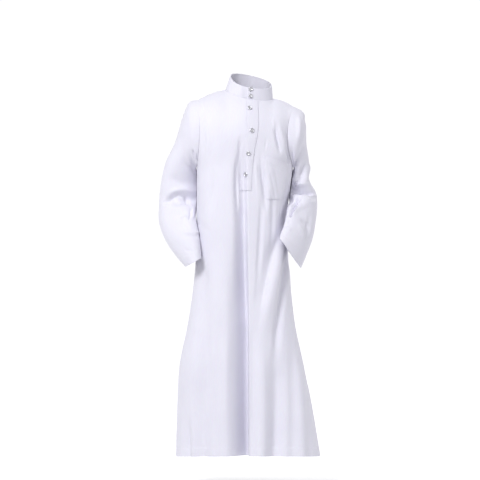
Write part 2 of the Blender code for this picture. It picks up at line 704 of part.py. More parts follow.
def make_chest_pocket(front, normals, cloth):
    """A patch pocket with rounded low corners, a little full at its mouth."""
    columns, rows = POCKET_SQUARES
    up, side = np.meshgrid(np.linspace(0, 1, rows + 1), np.linspace(0, 1, columns + 1), indexing="ij")
    edge = np.minimum(side, 1 - side)
    corner = POCKET_LOW_CORNER * np.clip(1 - edge / POCKET_CORNER_SHARE, 0, 1) ** 2 * (1 - up)
    low = np.array(POCKET_LOW_IN) * (1 - side[..., None]) + np.array(POCKET_LOW_OUT) * side[..., None]
    top = np.array(POCKET_TOP_IN) * (1 - side[..., None]) + np.array(POCKET_TOP_OUT) * side[..., None]
    place = low * (1 - up[..., None]) + top * up[..., None]
    raised = POCKET_FULLNESS * np.sin(math.pi * side) * up**2
    return lay_on_front(
        "chest_pocket", front, normals, place[..., 0], place[..., 1] + corner, raised, cloth
    )


def make_snaps(collar, collar_normals, placket, placket_normals, metal):
    """The collar's snaps sit on its top end, the others on the placket."""
    for set_name, places, net, normals in (
        ("collar", COLLAR_SNAPS, collar, collar_normals),
        ("placket", PLACKET_SNAPS, placket, placket_normals),
    ):
        top_end = net[:, -COLLAR_END_COLUMNS:] if set_name == "collar" else net
        facing = normals[:, -COLLAR_END_COLUMNS:] if set_name == "collar" else normals
        if top_end[0, 0, 0] > top_end[0, -1, 0]:
            top_end, facing = top_end[:, ::-1], facing[:, ::-1]
        for number, (x, z) in enumerate(places, 1):
            point, normal = find_on_front(top_end, facing, x, z)
            snap(f"snap_{set_name}_{number}", point + normal * (LAID_ON_GAP / MM), normal, metal)


def main():
    for old in list(bpy.data.objects):
        bpy.data.objects.remove(old)
    cloth = principled("white_cotton", (0.86, 0.86, 0.92), 0.75, 0.0)
    stiff_cloth = principled("white_cotton_stiffened", (0.84, 0.85, 0.90), 0.72, 0.0)
    metal = principled("snap_metal", (0.62, 0.62, 0.64), 0.32, 1.0)
    front, normals = make_body_and_sleeves(cloth)
    collar, collar_normals = make_collar(stiff_cloth)
    placket, placket_normals = make_placket(front, normals, stiff_cloth)
    make_chest_pocket(front, normals, cloth)
    make_snaps(collar, collar_normals, placket, placket_normals, metal)


main()
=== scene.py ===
"""A boy's long white thobe, worn and hollow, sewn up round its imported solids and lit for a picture.

It faces -Y, +X is the wearer's left and +Z is up. Cloth is worked out in millimetres from the origin, the
middle of the neck level with the shoulders, and made in metres.
"""

import math

import bpy
import numpy as np
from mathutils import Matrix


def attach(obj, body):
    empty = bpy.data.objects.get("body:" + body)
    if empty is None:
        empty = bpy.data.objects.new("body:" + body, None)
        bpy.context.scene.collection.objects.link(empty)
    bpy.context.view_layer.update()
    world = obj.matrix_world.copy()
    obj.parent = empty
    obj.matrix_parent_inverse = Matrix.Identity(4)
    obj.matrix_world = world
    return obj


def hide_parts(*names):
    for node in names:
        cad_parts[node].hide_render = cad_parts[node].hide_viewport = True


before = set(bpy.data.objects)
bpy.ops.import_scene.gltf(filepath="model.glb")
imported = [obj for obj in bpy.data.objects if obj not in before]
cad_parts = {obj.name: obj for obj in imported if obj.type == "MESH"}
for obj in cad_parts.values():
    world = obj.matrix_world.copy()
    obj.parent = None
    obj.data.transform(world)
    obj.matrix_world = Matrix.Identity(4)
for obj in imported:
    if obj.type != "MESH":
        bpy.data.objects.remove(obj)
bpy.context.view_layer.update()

# Front and back. Two pieces of smooth white polyester and cotton, cut from the shoulder to the ankle, wide at
# the hem, joined by side seams that stay open at the pocket mouths and, lower down, as vents. Their lower
# edges and vents are turned in and sewn.

MM = 0.001
HEM_HEIGHT = -942
ARMPIT_HEIGHT = -186
VENT_TOP = -755
FRONT_HEM_LIFT = 12
FRONT_COLUMNS = 34
BACK_COLUMNS = 26
SHOULDER_COLUMNS = 6
SKIRT_ROWS = 24
CHEST_ROWS = 11
CENTRE_CROWDING = 0.35
ROW_CROWDING = 1.35
OUTLINE_POINTS = 241

# The body as seen from above at each height: how far it reaches to the viewer's left and right, forward and
# back, how much it turns with the chest, and how square its outline is (2 is an ellipse).
BODY_COLUMNS = ("height", "left", "right", "front", "back", "turn", "square")
BODY = [
    (-942, -194, 184, 126, 120, 0.02, 2.1),
    (-810, -190, 162, 118, 113, 0.03, 2.2),
    (-700, -184, 140, 111, 107, 0.04, 2.3),
    (-590, -162, 117, 104, 101, 0.05, 2.4),
    (-456, -144, 103, 98, 95, 0.07, 2.5),
    (-340, -140, 95, 98, 90, 0.09, 2.5),
    (-262, -139, 103, 98, 89, 0.11, 2.5),
    (-186, -139, 113, 96, 88, 0.12, 2.5),
]
NECK_CENTRE_X = -2
NECK_CENTRE_Y = 2
NECK_HALF_WIDTH = 62
NECK_HALF_DEPTH = 52
NECK_HEIGHT = 6
NECK_SIDE_TILT = 11
NECK_BACK_TILT = 17
NECK_TURN = 0.12
SHOULDER_CROWN = 4
CHEST_BULGE = 13
BACK_BULGE = 18
SHOULDER_FILL_OUT = 13
SHOULDER_FILL_UP = 13
SHOULDER_FILL_SPREAD = 0.10
SHOULDER_FILL_INWARD = 0.6
SHOULDER_FILL_RISE = 1.3
BULGE_ROUNDNESS = 0.7
ARMHOLE_REACH = 0.42
RELAXING_ROUNDS = 8
FADING_ROWS = 4
FOLD_EDGE_HOLD = 1.3

# Each sleeve section is an ellipse between an outer and an inner point, as seen from the front, and reaches
# as far forward and back of them as its depth. The first section is the armhole, which the body shares.
SLEEVE_COLUMNS = ("along", "outer_x", "outer_y", "outer_z", "inner_x", "inner_y", "inner_z", "deep")
RIGHT_SLEEVE = [
    (0, -137, -15, -11, -139, -15, -186, 62),
    (22, -158, -14, -17, -142, -13, -188, 61),
    (50, -176, -9, -55, -141, -2, -191, 57),
    (85, -195, -2, -118, -136, 20, -196, 52),
    (125, -222, 8, -176, -131, 30, -206, 48),
    (165, -235, 16, -238, -129, 42, -232, 45),
    (205, -239, 16, -286, -131, 26, -272, 45),
    (245, -238, 4, -335, -138, -18, -314, 46),
    (280, -221, -16, -378, -133, -50, -351, 45),
    (315, -193, -36, -418, -128, -64, -388, 43),
    (345, -167, -50, -446, -126, -72, -424, 42),
]
LEFT_SLEEVE = [
    (0, 115, 15, -26, 113, 15, -186, 60),
    (22, 139, 18, -40, 117, 17, -188, 59),
    (50, 149, 25, -71, 113, 32, -191, 57),
    (85, 148, 33, -118, 106, 48, -196, 54),
    (125, 156, 43, -174, 99, 56, -206, 50),
    (165, 158, 48, -222, 92, 58, -224, 48),
    (190, 174, 47, -250, 90, 48, -243, 48),
    (217, 178, 38, -281, 97, 12, -268, 46),
    (255, 173, 18, -330, 94, -40, -306, 42),
    (290, 163, -6, -377, 86, -66, -341, 38),
    (320, 148, -24, -414, 79, -82, -359, 35),
    (345, 132, -38, -450, 76, -94, -373, 33),
]
# How far each armhole's front and back bend to the viewer's right of its straight line.
RIGHT_ARMHOLE_INSET = 7
LEFT_ARMHOLE_INSET = -17
ARMHOLES = ((RIGHT_SLEEVE[0], RIGHT_ARMHOLE_INSET), (LEFT_SLEEVE[0], LEFT_ARMHOLE_INSET))

# Within this distance of the middle, folds rise straight out instead of square to the cloth.
FOLD_LEAN_REACH = 70
# This one of the front's folds is sharp: a column of the net runs down it, and its neighbours shift along,
# the less the more columns lie between.
SHARPEST_FOLD = 1
COLUMN_SHIFT_REACH = 30
# The largest folds: a path from a high to a low point with a sideways bend in the middle, half widths to the
# viewer's left and right, the depth at both ends, and the lengths over which it comes and goes.
FOLD_COLUMNS = (
    "high_x", "high_z", "bend", "low_x", "low_z", "left", "right", "high_depth", "low_depth",
    "high_fade", "low_fade",
)
FRONT_FOLDS = [
    (-17, -100, -2, -13, -620, 31, 13, -15, -21, 130, 240),
    (-10, -330, 2, -6, -960, 59, 3, -26, -52, 220, 1),
    (-14, -250, 3, -6, -960, 31, 5, -8, -14, 80, 1),
    (28, -560, 0, 26, -960, 24, 44, 5, 14, 160, 1),
    (100, -330, -6, 32, -650, 22, 30, 14, 8, 90, 120),
    (84, -340, -6, 22, -570, 30, 9, -6, -5, 90, 60),
    (97, -400, -4, 62, -720, 16, 18, -12, -9, 80, 120),
    (62, -640, 6, 58, -960, 30, 34, -8, -20, 120, 1),
    (118, -640, 4, 130, -960, 26, 24, 7, 12, 120, 1),
    (-122, -390, 6, -126, -960, 34, 30, -5, -12, 120, 1),
    (-160, -800, 0, -162, -960, 20, 12, -4, -12, 80, 1),
    (22, -172, 4, 42, -320, 12, 12, -5, -5, 50, 70),
    (40, -160, 4, 62, -290, 12, 14, 4, 4, 50, 70),
    (64, -66, 0, 82, -162, 13, 13, -4, -5, 40, 30),
    (104, -214, 6, 84, -352, 22, 14, -12, -14, 60, 60),
    (-96, -190, 4, -108, -330, 20, 18, -4, -4, 60, 70),
]
BACK_FOLDS = [
    (-52, -150, -10, -84, -960, 34, 40, -6, -26, 200, 1),
    (14, -120, 8, 20, -960, 46, 36, -5, -30, 240, 1),
    (66, -200, 6, 96, -960, 34, 34, -6, -22, 200, 1),
    (-14, -320, 4, -34, -960, 30, 26, 4, 12, 200, 1),
    (-130, -420, 0, -142, -960, 24, 28, -4, -16, 160, 1),
    (128, -560, 0, 140, -960, 20, 22, -3, -12, 160, 1),
]

# Creases too fine for the solids: three points that each one passes, in the view from the front, then its
# half widths to the left and right as one walks it, its depth at both ends, and the share of it over which
# it comes and goes.
CREASE_COLUMNS = (
    "from_x", "from_z", "by_x", "by_z", "to_x", "to_z", "left", "right", "from_depth", "to_depth", "fade",
)
FRONT_CREASES = [
    (24, -150, 30, -215, 40, -310, 7, 5, -2.2, -1.6, 0.35),
    (14, -160, 17, -215, 22, -282, 5, 6, 1.6, 1.2, 0.4),
    (36, -150, 44, -210, 60, -280, 6, 6, 1.8, 1.4, 0.35),
    (50, -196, 58, -240, 68, -282, 7, 5, -2.4, -1.8, 0.35),
    (42, -112, 40, -132, 36, -152, 5, 5, -1.6, -1, 0.5),
    (58, -58, 63, -86, 66, -118, 5, 5, 1.8, 1.2, 0.45),
    (72, -64, 82, -104, 93, -145, 7, 7, 1.4, 1.4, 0.4),
    (62, -78, 71, -114, 81, -160, 4, 10, -3, -5, 0.35),
    (-24, -104, -28, -170, -26, -262, 12, 8, -3.5, -4.5, 0.3),
    (-40, -150, -40, -240, -34, -340, 10, 12, -1.4, -2, 0.4),
    (-126, -60, -118, -110, -126, -184, 9, 12, -1.2, -3, 0.4),
    (-120, -60, -108, -130, -116, -210, 9, 12, 1.2, 2, 0.4),
    (98, -84, 102, -140, 104, -203, 4, 11, -4.5, -7, 0.3),
    (-124, -400, -120, -470, -126, -540, 14, 10, -2.4, -1.4, 0.4),
    (84, -405, 92, -460, 84, -540, 12, 8, -3, -2, 0.35),
    (96, -395, 104, -440, 110, -520, 8, 10, 2.4, 1.4, 0.4),
    (-160, -866, -160, -900, -161, -945, 7, 5, -2.6, -3, 0.3),
    (-148, -850, -146, -900, -147, -945, 9, 9, 1.8, 2.6, 0.4),
    (-84, -620, -90, -760, -96, -945, 22, 26, -1.5, -4, 0.3),
    (-64, -560, -62, -720, -68, -945, 14, 18, 1, 2.5, 0.4),
    (104, -560, 112, -740, 120, -945, 12, 16, -1.5, -4, 0.4),
    (30, -620, 34, -760, 30, -945, 12, 14, 1.2, 2.4, 0.4),
    (-150, -300, -120, -345, -92, -352, 9, 12, -1.2, -0.6, 0.4),
    (-4, -560, -2, -720, 0, -945, 7, 18, 0.8, 1.6, 0.35),
    (-31, -150, -36, -225, -31, -330, 7, 8, -4, -7, 0.35),
    (31, -235, 25, -368, 13, -566, 12, 9, -3.6, -4.4, 0.4),
    (44, -190, 47, -272, 42, -364, 7, 8, 1.8, 1.4, 0.4),
    (56, -240, 58, -312, 52, -417, 10, 9, -3.4, -2.8, 0.4),
    (90, -225, 88, -268, 82, -312, 4, 4, 2.2, 2.2, 0.35),
]
BACK_CREASES = [
    (-60, -60, -70, -120, -92, -185, 10, 12, -2.4, -2, 0.4),
    (70, -70, 78, -120, 84, -190, 10, 12, -2.4, -2.4, 0.4),
    (-20, -50, 0, -66, 26, -52, 10, 12, -1.8, -1.8, 0.5),
    (-112, -100, -110, -150, -124, -190, 10, 12, -2.6, -3.4, 0.4),
    (98, -90, 94, -140, 104, -200, 10, 12, -2.6, -3.4, 0.4),
    (-66, -210, -50, -300, -58, -420, 14, 18, -2.6, -1.6, 0.4),
    (30, -190, 40, -300, 30, -430, 14, 18, -2.4, -1.6, 0.4),
    (-6, -240, -10, -360, -24, -520, 12, 14, 1.8, 1.4, 0.4),
    (84, -300, 74, -420, 84, -560, 14, 14, -2.2, -1.6, 0.4),
    (-112, -620, -106, -780, -112, -945, 16, 18, 1.4, 3, 0.4),
    (50, -560, 56, -740, 60, -945, 16, 18, 1.2, 3.4, 0.4),
    (118, -640, 114, -780, 118, -945, 10, 14, 1.2, 2.6, 0.4),
]
CREASE_STEPS = 24

POCKET_MOUTH_TOP = -330
POCKET_MOUTH_LOW = -455
POCKET_MOUTH_GAPE = 9
VENT_GAPE = 14
VENT_ROUNDNESS = 0.8

# Sewing and the cloth's own detail: its shown thickness, the groove along a seam, the turned edges, the
# machine stitches, and the long shallow slack that no panel is without. Creases and slack fade at the seams.
CLOTH = 0.8
SEAM_DIP = 0.8
SEAM_DIP_REACH = 2.0
HEM_TURN = 22
VENT_TURN = 12
TURN_RISE = 0.55
TURN_STEP = 1.6
STITCH_IN = 2
STITCH_PITCH = 3.0
STITCH_LENGTH = 2.1
STITCH_THICK = 0.38
SLACK = 0.7
LEAST_SLACK = 0.6
ADDED_SLACK = 0.8
ADDED_SLACK_LENGTH = 1200
SIDE_FADE = 14
TOP_FADE = 20
FINER = 5
HEM_ROWS_AT = (0.6, 1.6, 3.2, 18, 20, 21, 22, 23, 24, 26)
SHARP_ANGLE = 60
CLOTH_COLOUR = (0.82, 0.81, 0.90)
CLOTH_SHADE = (0.77, 0.76, 0.86)

# Scales of the cloth's textures: its threads, thick places in the yarn, mottling and rumples.
WARP_SCALE = 420
WEFT_SCALE = 380
SLUB_STRETCH = (900, 60, 1)
SLUB_TINT = 0.12
MOTTLE_SCALE = 14
RUMPLE_SCALE = 55


def column(table, names, name, at):
    """One named column of a table, read along its first column on a smooth curve through the rows."""
    rows = sorted(table)
    keys = np.array([row[0] for row in rows], float)
    values = np.array([row[names.index(name)] for row in rows], float)
    slopes = np.gradient(values, keys)
    at = np.clip(np.asarray(at, float), keys[0], keys[-1])
    low = np.clip(np.searchsorted(keys, at, side="right") - 1, 0, len(keys) - 2)
    span = keys[low + 1] - keys[low]
    t = (at - keys[low]) / span
    return (
        (1 + 2 * t) * (1 - t) ** 2 * values[low]
        + t * (1 - t) ** 2 * span * slopes[low]
        + t**2 * (3 - 2 * t) * values[low + 1]
        + t**2 * (t - 1) * span * slopes[low + 1]
    )


def ease(t):
    t = np.clip(t, 0, 1)
    return t * t * (3 - 2 * t)


def near(distance, reach):
    """1 on a line, next to nothing beyond twice its reach."""
    return np.exp(-((distance / reach) ** 2))


def hump(distance, half_width):
    """1 on a line, falling smoothly to nothing at its half width."""
    return 0.5 * (1 + np.cos(math.pi * np.clip(distance / half_width, 0, 1)))


def read_line(at, places, points):
    """Points read between others whose places along a line are known."""
    return np.stack([np.interp(at, places, values) for values in points.T], axis=-1)


def crowded(even):
    return even + CENTRE_CROWDING * np.sin(2 * math.pi * even) / (2 * math.pi)


def half_section(height, side, fractions):
    """Half of the body's outline at one height, from the viewer's left seam to the right one."""
    left, right, depth, turn, square = (
        float(column(BODY, BODY_COLUMNS, name, height))
        for name in ("left", "right", "front" if side < 0 else "back", "turn", "square")
    )
    angle = np.linspace(0, math.pi, OUTLINE_POINTS)
    across = -np.sign(np.cos(angle)) * np.abs(np.cos(angle)) ** (2 / square) * (right - left) / 2
    forward = side * depth * np.sin(angle) ** (2 / square) + turn * across
    points = np.stack([(left + right) / 2 + across, forward], axis=1)
    length = np.concatenate([[0], np.cumsum(np.linalg.norm(np.diff(points, axis=0), axis=1))])
    return read_line(np.asarray(fractions) * length[-1], length, points), length[-1]


def seam_gape(height):
    """How far the front's edge stands back from the side seam, at a pocket mouth or a vent."""
    mouth = np.clip((POCKET_MOUTH_TOP - height) / (POCKET_MOUTH_TOP - POCKET_MOUTH_LOW), 0, 1)
    vent = np.clip((VENT_TOP - height) / (VENT_TOP - HEM_HEIGHT), 0, 1)
    return POCKET_MOUTH_GAPE * np.sin(math.pi * mouth) + VENT_GAPE * vent**VENT_ROUNDNESS


def section(cell, angle, side, inset):
    """Points of a sleeve's section, from its outer edge round by the front (side -1) or back (side 1)."""
    outer, inner = (np.array([cell[f"{end}_{way}"] for way in "xyz"], float) for end in ("outer", "inner"))
    points = (outer + inner) / 2 + (outer - inner) / 2 * np.cos(angle)
    points = points + np.array([0, side * cell["deep"], 0]) * np.sin(angle)
    return points + np.array([inset, 0, 0]) * np.sin(angle) ** 2


def armholes(side, share):
    """Both armholes from armpit to shoulder, by the front or the back, the viewer's left one first."""
    angle = math.pi * (1 - share)[:, None]
    return [section(dict(zip(SLEEVE_COLUMNS, row)), angle, side, inset) for row, inset in ARMHOLES]


def neck_point(angle, shrink=0.0):
    """A point of the neckline. Angle 0 is the wearer's right, a quarter turn is the front."""
    across = -np.cos(angle)
    forward = -np.sin(angle)
    return np.stack(
        [
            NECK_CENTRE_X + (NECK_HALF_WIDTH - shrink) * across,
            NECK_CENTRE_Y + (NECK_HALF_DEPTH - shrink) * forward + NECK_TURN * NECK_HALF_WIDTH * across,
            NECK_HEIGHT - NECK_SIDE_TILT * across + NECK_BACK_TILT * forward,
        ],
        axis=-1,
    )


def top_edge(side, columns, tips, at):
    """The top of a panel at some of its columns: shoulder seam, half of the neckline, shoulder seam."""
    neck_columns = columns - 2 * SHOULDER_COLUMNS
    points = neck_point(-side * math.pi * np.clip((at - SHOULDER_COLUMNS) / neck_columns, 0, 1))
    ends = neck_point(-side * np.array([0, math.pi]))
    for tip, end, from_tip in ((tips[0], ends[0], at), (tips[1], ends[1], columns - at)):
        share = np.clip(from_tip / SHOULDER_COLUMNS, 0, 1)[:, None]
        seam = tip * (1 - share) + end * share + [0, 0, SHOULDER_CROWN] * np.sin(math.pi * share)
        points = np.where(share < 1, seam, points)
    return points


def relaxed(net, first_row):
    """Evens out the net above one row, leaving its edges where they are."""
    past_row = np.arange(1, len(net) - 1) - first_row + FADING_ROWS
    share = ease(past_row / FADING_ROWS)[:, None, None] * 0.5
    for _ in range(RELAXING_ROUNDS):
        middle = (net[:-2, 1:-1] + net[2:, 1:-1] + net[1:-1, :-2] + net[1:-1, 2:]) / 4
        net[1:-1, 1:-1] += (middle - net[1:-1, 1:-1]) * share
    return net


def panel_net(side, columns):
    """The front (side -1) or back (side 1) without its folds, as coarse as its solid."""
    fractions = crowded(np.linspace(0, 1, columns + 1))
    arch = np.sin(math.pi * fractions)
    rows = []
    low_share = np.linspace(1, 0, SKIRT_ROWS + 1) ** ROW_CROWDING
    for height in ARMPIT_HEIGHT + (HEM_HEIGHT - ARMPIT_HEIGHT) * low_share:
        length = half_section(height, side, [0, 1])[1]
        gape = seam_gape(height) / length if side < 0 else 0.0
        outline = half_section(height, side, gape + (1 - 2 * gape) * fractions)[0]
        low = (ARMPIT_HEIGHT - height) / (ARMPIT_HEIGHT - HEM_HEIGHT)
        lift = FRONT_HEM_LIFT * low**3 * arch if side < 0 else 0 * arch
        rows.append(np.column_stack([outline, height + lift]))
    share = np.linspace(0, 1, CHEST_ROWS + 1)
    left, right = armholes(side, share)
    low = rows[-1]
    top = top_edge(side, columns, (left[-1], right[-1]), np.arange(columns + 1.0))
    bulge = (CHEST_BULGE if side < 0 else BACK_BULGE) * arch**BULGE_ROUNDNESS
    past_neck = np.minimum(fractions, 1 - fractions) - fractions[SHOULDER_COLUMNS]
    fill = near(past_neck, np.where(past_neck > 0, SHOULDER_FILL_INWARD, SHOULDER_FILL_SPREAD))
    from_left = 1 - ease(fractions / ARMHOLE_REACH)
    from_right = 1 - ease((1 - fractions) / ARMHOLE_REACH)
    for index, t in enumerate(share[1:], 1):
        row = low * (1 - t) + top * t
        to_left = left[index] - row[0]
        to_right = right[index] - row[-1]
        row = row + from_left[:, None] * to_left + from_right[:, None] * to_right
        filled = fill * math.sin(math.pi * t**SHOULDER_FILL_RISE)
        row[:, 1] += side * (bulge * math.sin(math.pi * t) + SHOULDER_FILL_OUT * filled)
        row[:, 2] += SHOULDER_FILL_UP * filled
        rows.append(row)
    return relaxed(np.array(rows), SKIRT_ROWS)


def between(net, at, axis):
    """The net read on a smooth curve through its points, at fractional places along one axis."""
    net = np.moveaxis(net, axis, 0)
    padded = np.concatenate([[2 * net[0] - net[1]], net, [2 * net[-1] - net[-2]]])
    first = np.clip(np.floor(at).astype(int), 0, len(net) - 2)
    t = (at - first).reshape(-1, *([1] * (net.ndim - 1)))
    before, low, high, after = (padded[first + k] for k in range(4))
    value = 0.5 * (
        2 * low
        + (high - before) * t
        + (2 * before - 5 * low + 4 * high - after) * t**2
        + (3 * low - before - 3 * high + after) * t**3
    )
    return np.moveaxis(value, 0, axis)


def normals_of(net, closed=False):
    along = np.gradient(net, axis=0)
    if closed:
        across = np.roll(net, -1, axis=1) - np.roll(net, 1, axis=1)
    else:
        across = np.gradient(net, axis=1)
    normal = np.cross(across, along)
    return normal / np.maximum(np.linalg.norm(normal, axis=2, keepdims=True), 1e-9)


def fold_path(fold, z):
    """Where a fold runs at a height: its share of the way down, and its x."""
    inside = np.clip((fold["high_z"] - z) / (fold["high_z"] - fold["low_z"]), 0, 1)
    path = fold["high_x"] + (fold["low_x"] - fold["high_x"]) * inside
    return inside, path + 4 * fold["bend"] * inside * (1 - inside)


def fold_height(folds, x, z):
    """How far the folds lift a point of the front or back at x and z."""
    lift = np.zeros_like(x)
    for row in folds:
        fold = dict(zip(FOLD_COLUMNS, row))
        inside, path = fold_path(fold, z)
        width = np.where(x < path, fold["left"], fold["right"])
        depth = fold["high_depth"] + (fold["low_depth"] - fold["high_depth"]) * inside
        ends = ease((fold["high_z"] - z) / fold["high_fade"]) * ease((z - fold["low_z"]) / fold["low_fade"])
        lift = lift + depth * ends * hump(np.abs(x - path), width)
    return lift


def straight_out(normals, x):
    """The ways in which folds rise: near the middle of a panel they lean neither left nor right."""
    lean = 1 - near(x, FOLD_LEAN_REACH)
    ways = normals * np.stack([lean, np.ones_like(x), np.ones_like(x)], axis=-1)
    return ways / np.linalg.norm(ways, axis=-1, keepdims=True)


def column_down_fold(net, fold):
    """Shifts a net's columns sideways so that one of them runs down the sharp edge of a fold."""
    numbers = np.arange(net.shape[1])
    height = net[:, net.shape[1] // 2, 2]
    edge = fold_path(fold, height)[1]
    found = np.array([np.interp(x, row[:, 0], numbers) for x, row in zip(edge, net)])
    below = height < fold["high_z"]
    kept = round(float(found[below].mean()))
    shift = (found - kept) * ease((fold["high_z"] - height) / fold["high_fade"] + 1)
    for r, row in enumerate(net):
        at = numbers + shift[r] * near(numbers - kept, COLUMN_SHIFT_REACH)
        net[r] = read_line(at, numbers, row)
    return net


def crease_height(creases, x, z):
    """How far the creases lift a point, as seen at x and z."""
    lift = np.zeros_like(x)
    for row in creases:
        crease = dict(zip(CREASE_COLUMNS, row))
        start, by, stop = np.array(row[:6], float).reshape(3, 2)
        middle = 2 * by - (start + stop) / 2
        walk = np.linspace(0, 1, CREASE_STEPS + 1)[:, None]
        path = start * (1 - walk) ** 2 + 2 * middle * walk * (1 - walk) + stop * walk**2
        widest = max(crease["left"], crease["right"])
        low, high = path.min(0) - widest, path.max(0) + widest
        close = (x > low[0]) & (x < high[0]) & (z > low[1]) & (z < high[1])
        if not close.any():
            continue
        point = np.stack([x[close], z[close]], axis=-1)
        best = np.full(len(point), np.inf)
        side = np.zeros(len(point))
        share = np.zeros(len(point))
        for k in range(CREASE_STEPS):
            step = path[k + 1] - path[k]
            t = np.clip(((point - path[k]) @ step) / (step @ step), 0, 1)
            apart = point - path[k] - t[:, None] * step
            distance = np.hypot(apart[:, 0], apart[:, 1])
            closer = distance < best
            best = np.where(closer, distance, best)
            side = np.where(closer, step[0] * apart[:, 1] - step[1] * apart[:, 0], side)
            share = np.where(closer, (k + t) / CREASE_STEPS, share)
        width = np.where(side > 0, crease["left"], crease["right"])
        depth = crease["from_depth"] + (crease["to_depth"] - crease["from_depth"]) * share
        ends = ease(share / crease["fade"]) * ease((1 - share) / crease["fade"])
        lift[close] += depth * ends * hump(best, width)
    return lift


def uneven(across, along, start):
    """Long shallow waves that never quite repeat, each with its strength and its lengths, times SLACK."""
    waves = (
        0.40 * np.sin(across / 13 + 1.9 * np.sin(along / 97 + start) + start)
        + 0.32 * np.sin(across / 21 - 1.4 * np.sin(along / 71 + 2 * start) + 2.1)
        + 0.28 * np.sin(along / 33 + 1.2 * np.sin(across / 29) + 3 * start)
    )
    return SLACK * waves


def lengths(net, axis):
    """How far each point lies along its row or column, in millimetres."""
    step = np.linalg.norm(np.diff(net, axis=axis), axis=2)
    start = np.zeros_like(np.take(step, [0], axis=axis))
    return np.concatenate([start, np.cumsum(step, axis=axis)], axis=axis)


def turned_edge(distance, width):
    """The rise of an edge that is turned in and sewn down, at a distance from it."""
    return TURN_RISE * ease((width - distance) / TURN_STEP + 0.5)


def fill_inputs(tree, node, inputs):
    """Gives a node's inputs numbers, colours or other nodes' outputs."""
    for name, value in inputs.items():
        if isinstance(value, bpy.types.NodeSocket):
            tree.links.new(value, node.inputs[name])
        else:
            node.inputs[name].default_value = value


def add_node(tree, kind, inputs, **settings):
    node = tree.nodes.new("ShaderNode" + kind)
    for name, value in settings.items():
        setattr(node, name, value)
    fill_inputs(tree, node, inputs)
    return node


def graded(tree, value, span, result):
    """A value carried from one span of numbers to another."""
    ends = dict(zip(("From Min", "From Max", "To Min", "To Max"), (*span, *result)))
    return add_node(tree, "MapRange", {"Value": value, **ends}).outputs["Result"]


def mixed(tree, share, first, second, blend="MIX"):
    """Two colours mixed by a share."""
    inputs = {0: share, 6: first, 7: second}
    return add_node(tree, "Mix", inputs, data_type="RGBA", blend_type=blend).outputs[2]


def noise(tree, place, scale, detail):
    return add_node(tree, "TexNoise", {"Vector": place, "Scale": scale, "Detail": detail})


def relief(tree, *layers):
    """Fine relief in layers, each a strength, a height in metres and a texture."""
    normal = None
    for strength, distance, height in layers:
        bump = add_node(tree, "Bump", {"Strength": strength, "Distance": distance, "Height": height})
        if normal:
            tree.links.new(normal, bump.inputs["Normal"])
        normal = bump.outputs["Normal"]
    return normal


def paint(name):
    """A new material with its nodes and its shader."""
    material = bpy.data.materials.new(name)
    material.use_nodes = True
    tree = material.node_tree
    return material, tree, tree.nodes["Principled BSDF"]


def white_cloth(name, colour, shade, roughness):
    """Smooth white cloth: a fine plain weave with slubs, faintly mottled, with a soft sheen."""
    material, tree, shader = paint(name)
    flat = add_node(tree, "UVMap", {}, uv_map="cloth").outputs["UV"]
    spot = add_node(tree, "TexCoord", {}).outputs["Object"]
    warp, weft = (
        add_node(tree, "TexWave", {"Vector": flat, "Scale": scale, "Distortion": 0.6}, bands_direction=way)
        for scale, way in ((WARP_SCALE, "X"), (WEFT_SCALE, "Y"))
    )
    weave = add_node(tree, "Math", {0: warp.outputs["Fac"], 1: weft.outputs["Fac"]}, operation="MULTIPLY")
    stretch = add_node(tree, "Mapping", {"Vector": flat, "Scale": SLUB_STRETCH})
    slub = noise(tree, stretch.outputs["Vector"], scale=1, detail=3)
    mottle = noise(tree, spot, MOTTLE_SCALE, detail=4).outputs["Fac"]
    rumple = noise(tree, spot, RUMPLE_SCALE, detail=3).outputs["Fac"]
    tone = mixed(tree, mottle, (*colour, 1), (*shade, 1))
    inputs = {
        "Base Color": mixed(tree, SLUB_TINT, tone, slub.outputs["Color"], "MULTIPLY"),
        "Roughness": graded(tree, mottle, (0, 1), (roughness - 0.06, roughness + 0.08)),
        "Normal": relief(
            tree,
            (0.25, 0.00008, weave.outputs["Value"]),
            (0.25, 0.0001, slub.outputs["Fac"]),
            (0.35, 0.0008, rumple),
        ),
        "Sheen Weight": 0.25,
        "Sheen Roughness": 0.45,
        "Specular IOR Level": 0.3,
    }
    fill_inputs(tree, shader, inputs)
    return material


def add_piece(name, points, faces, material):
    """A smooth mesh in the scene, from points in millimetres."""
    mesh = bpy.data.meshes.new(name)
    mesh.from_pydata((np.array(points) * MM).tolist(), [], faces)
    mesh.shade_smooth()
    mesh.materials.append(material)
    made = bpy.data.objects.new(name, mesh)
    bpy.context.scene.collection.objects.link(made)
    return made


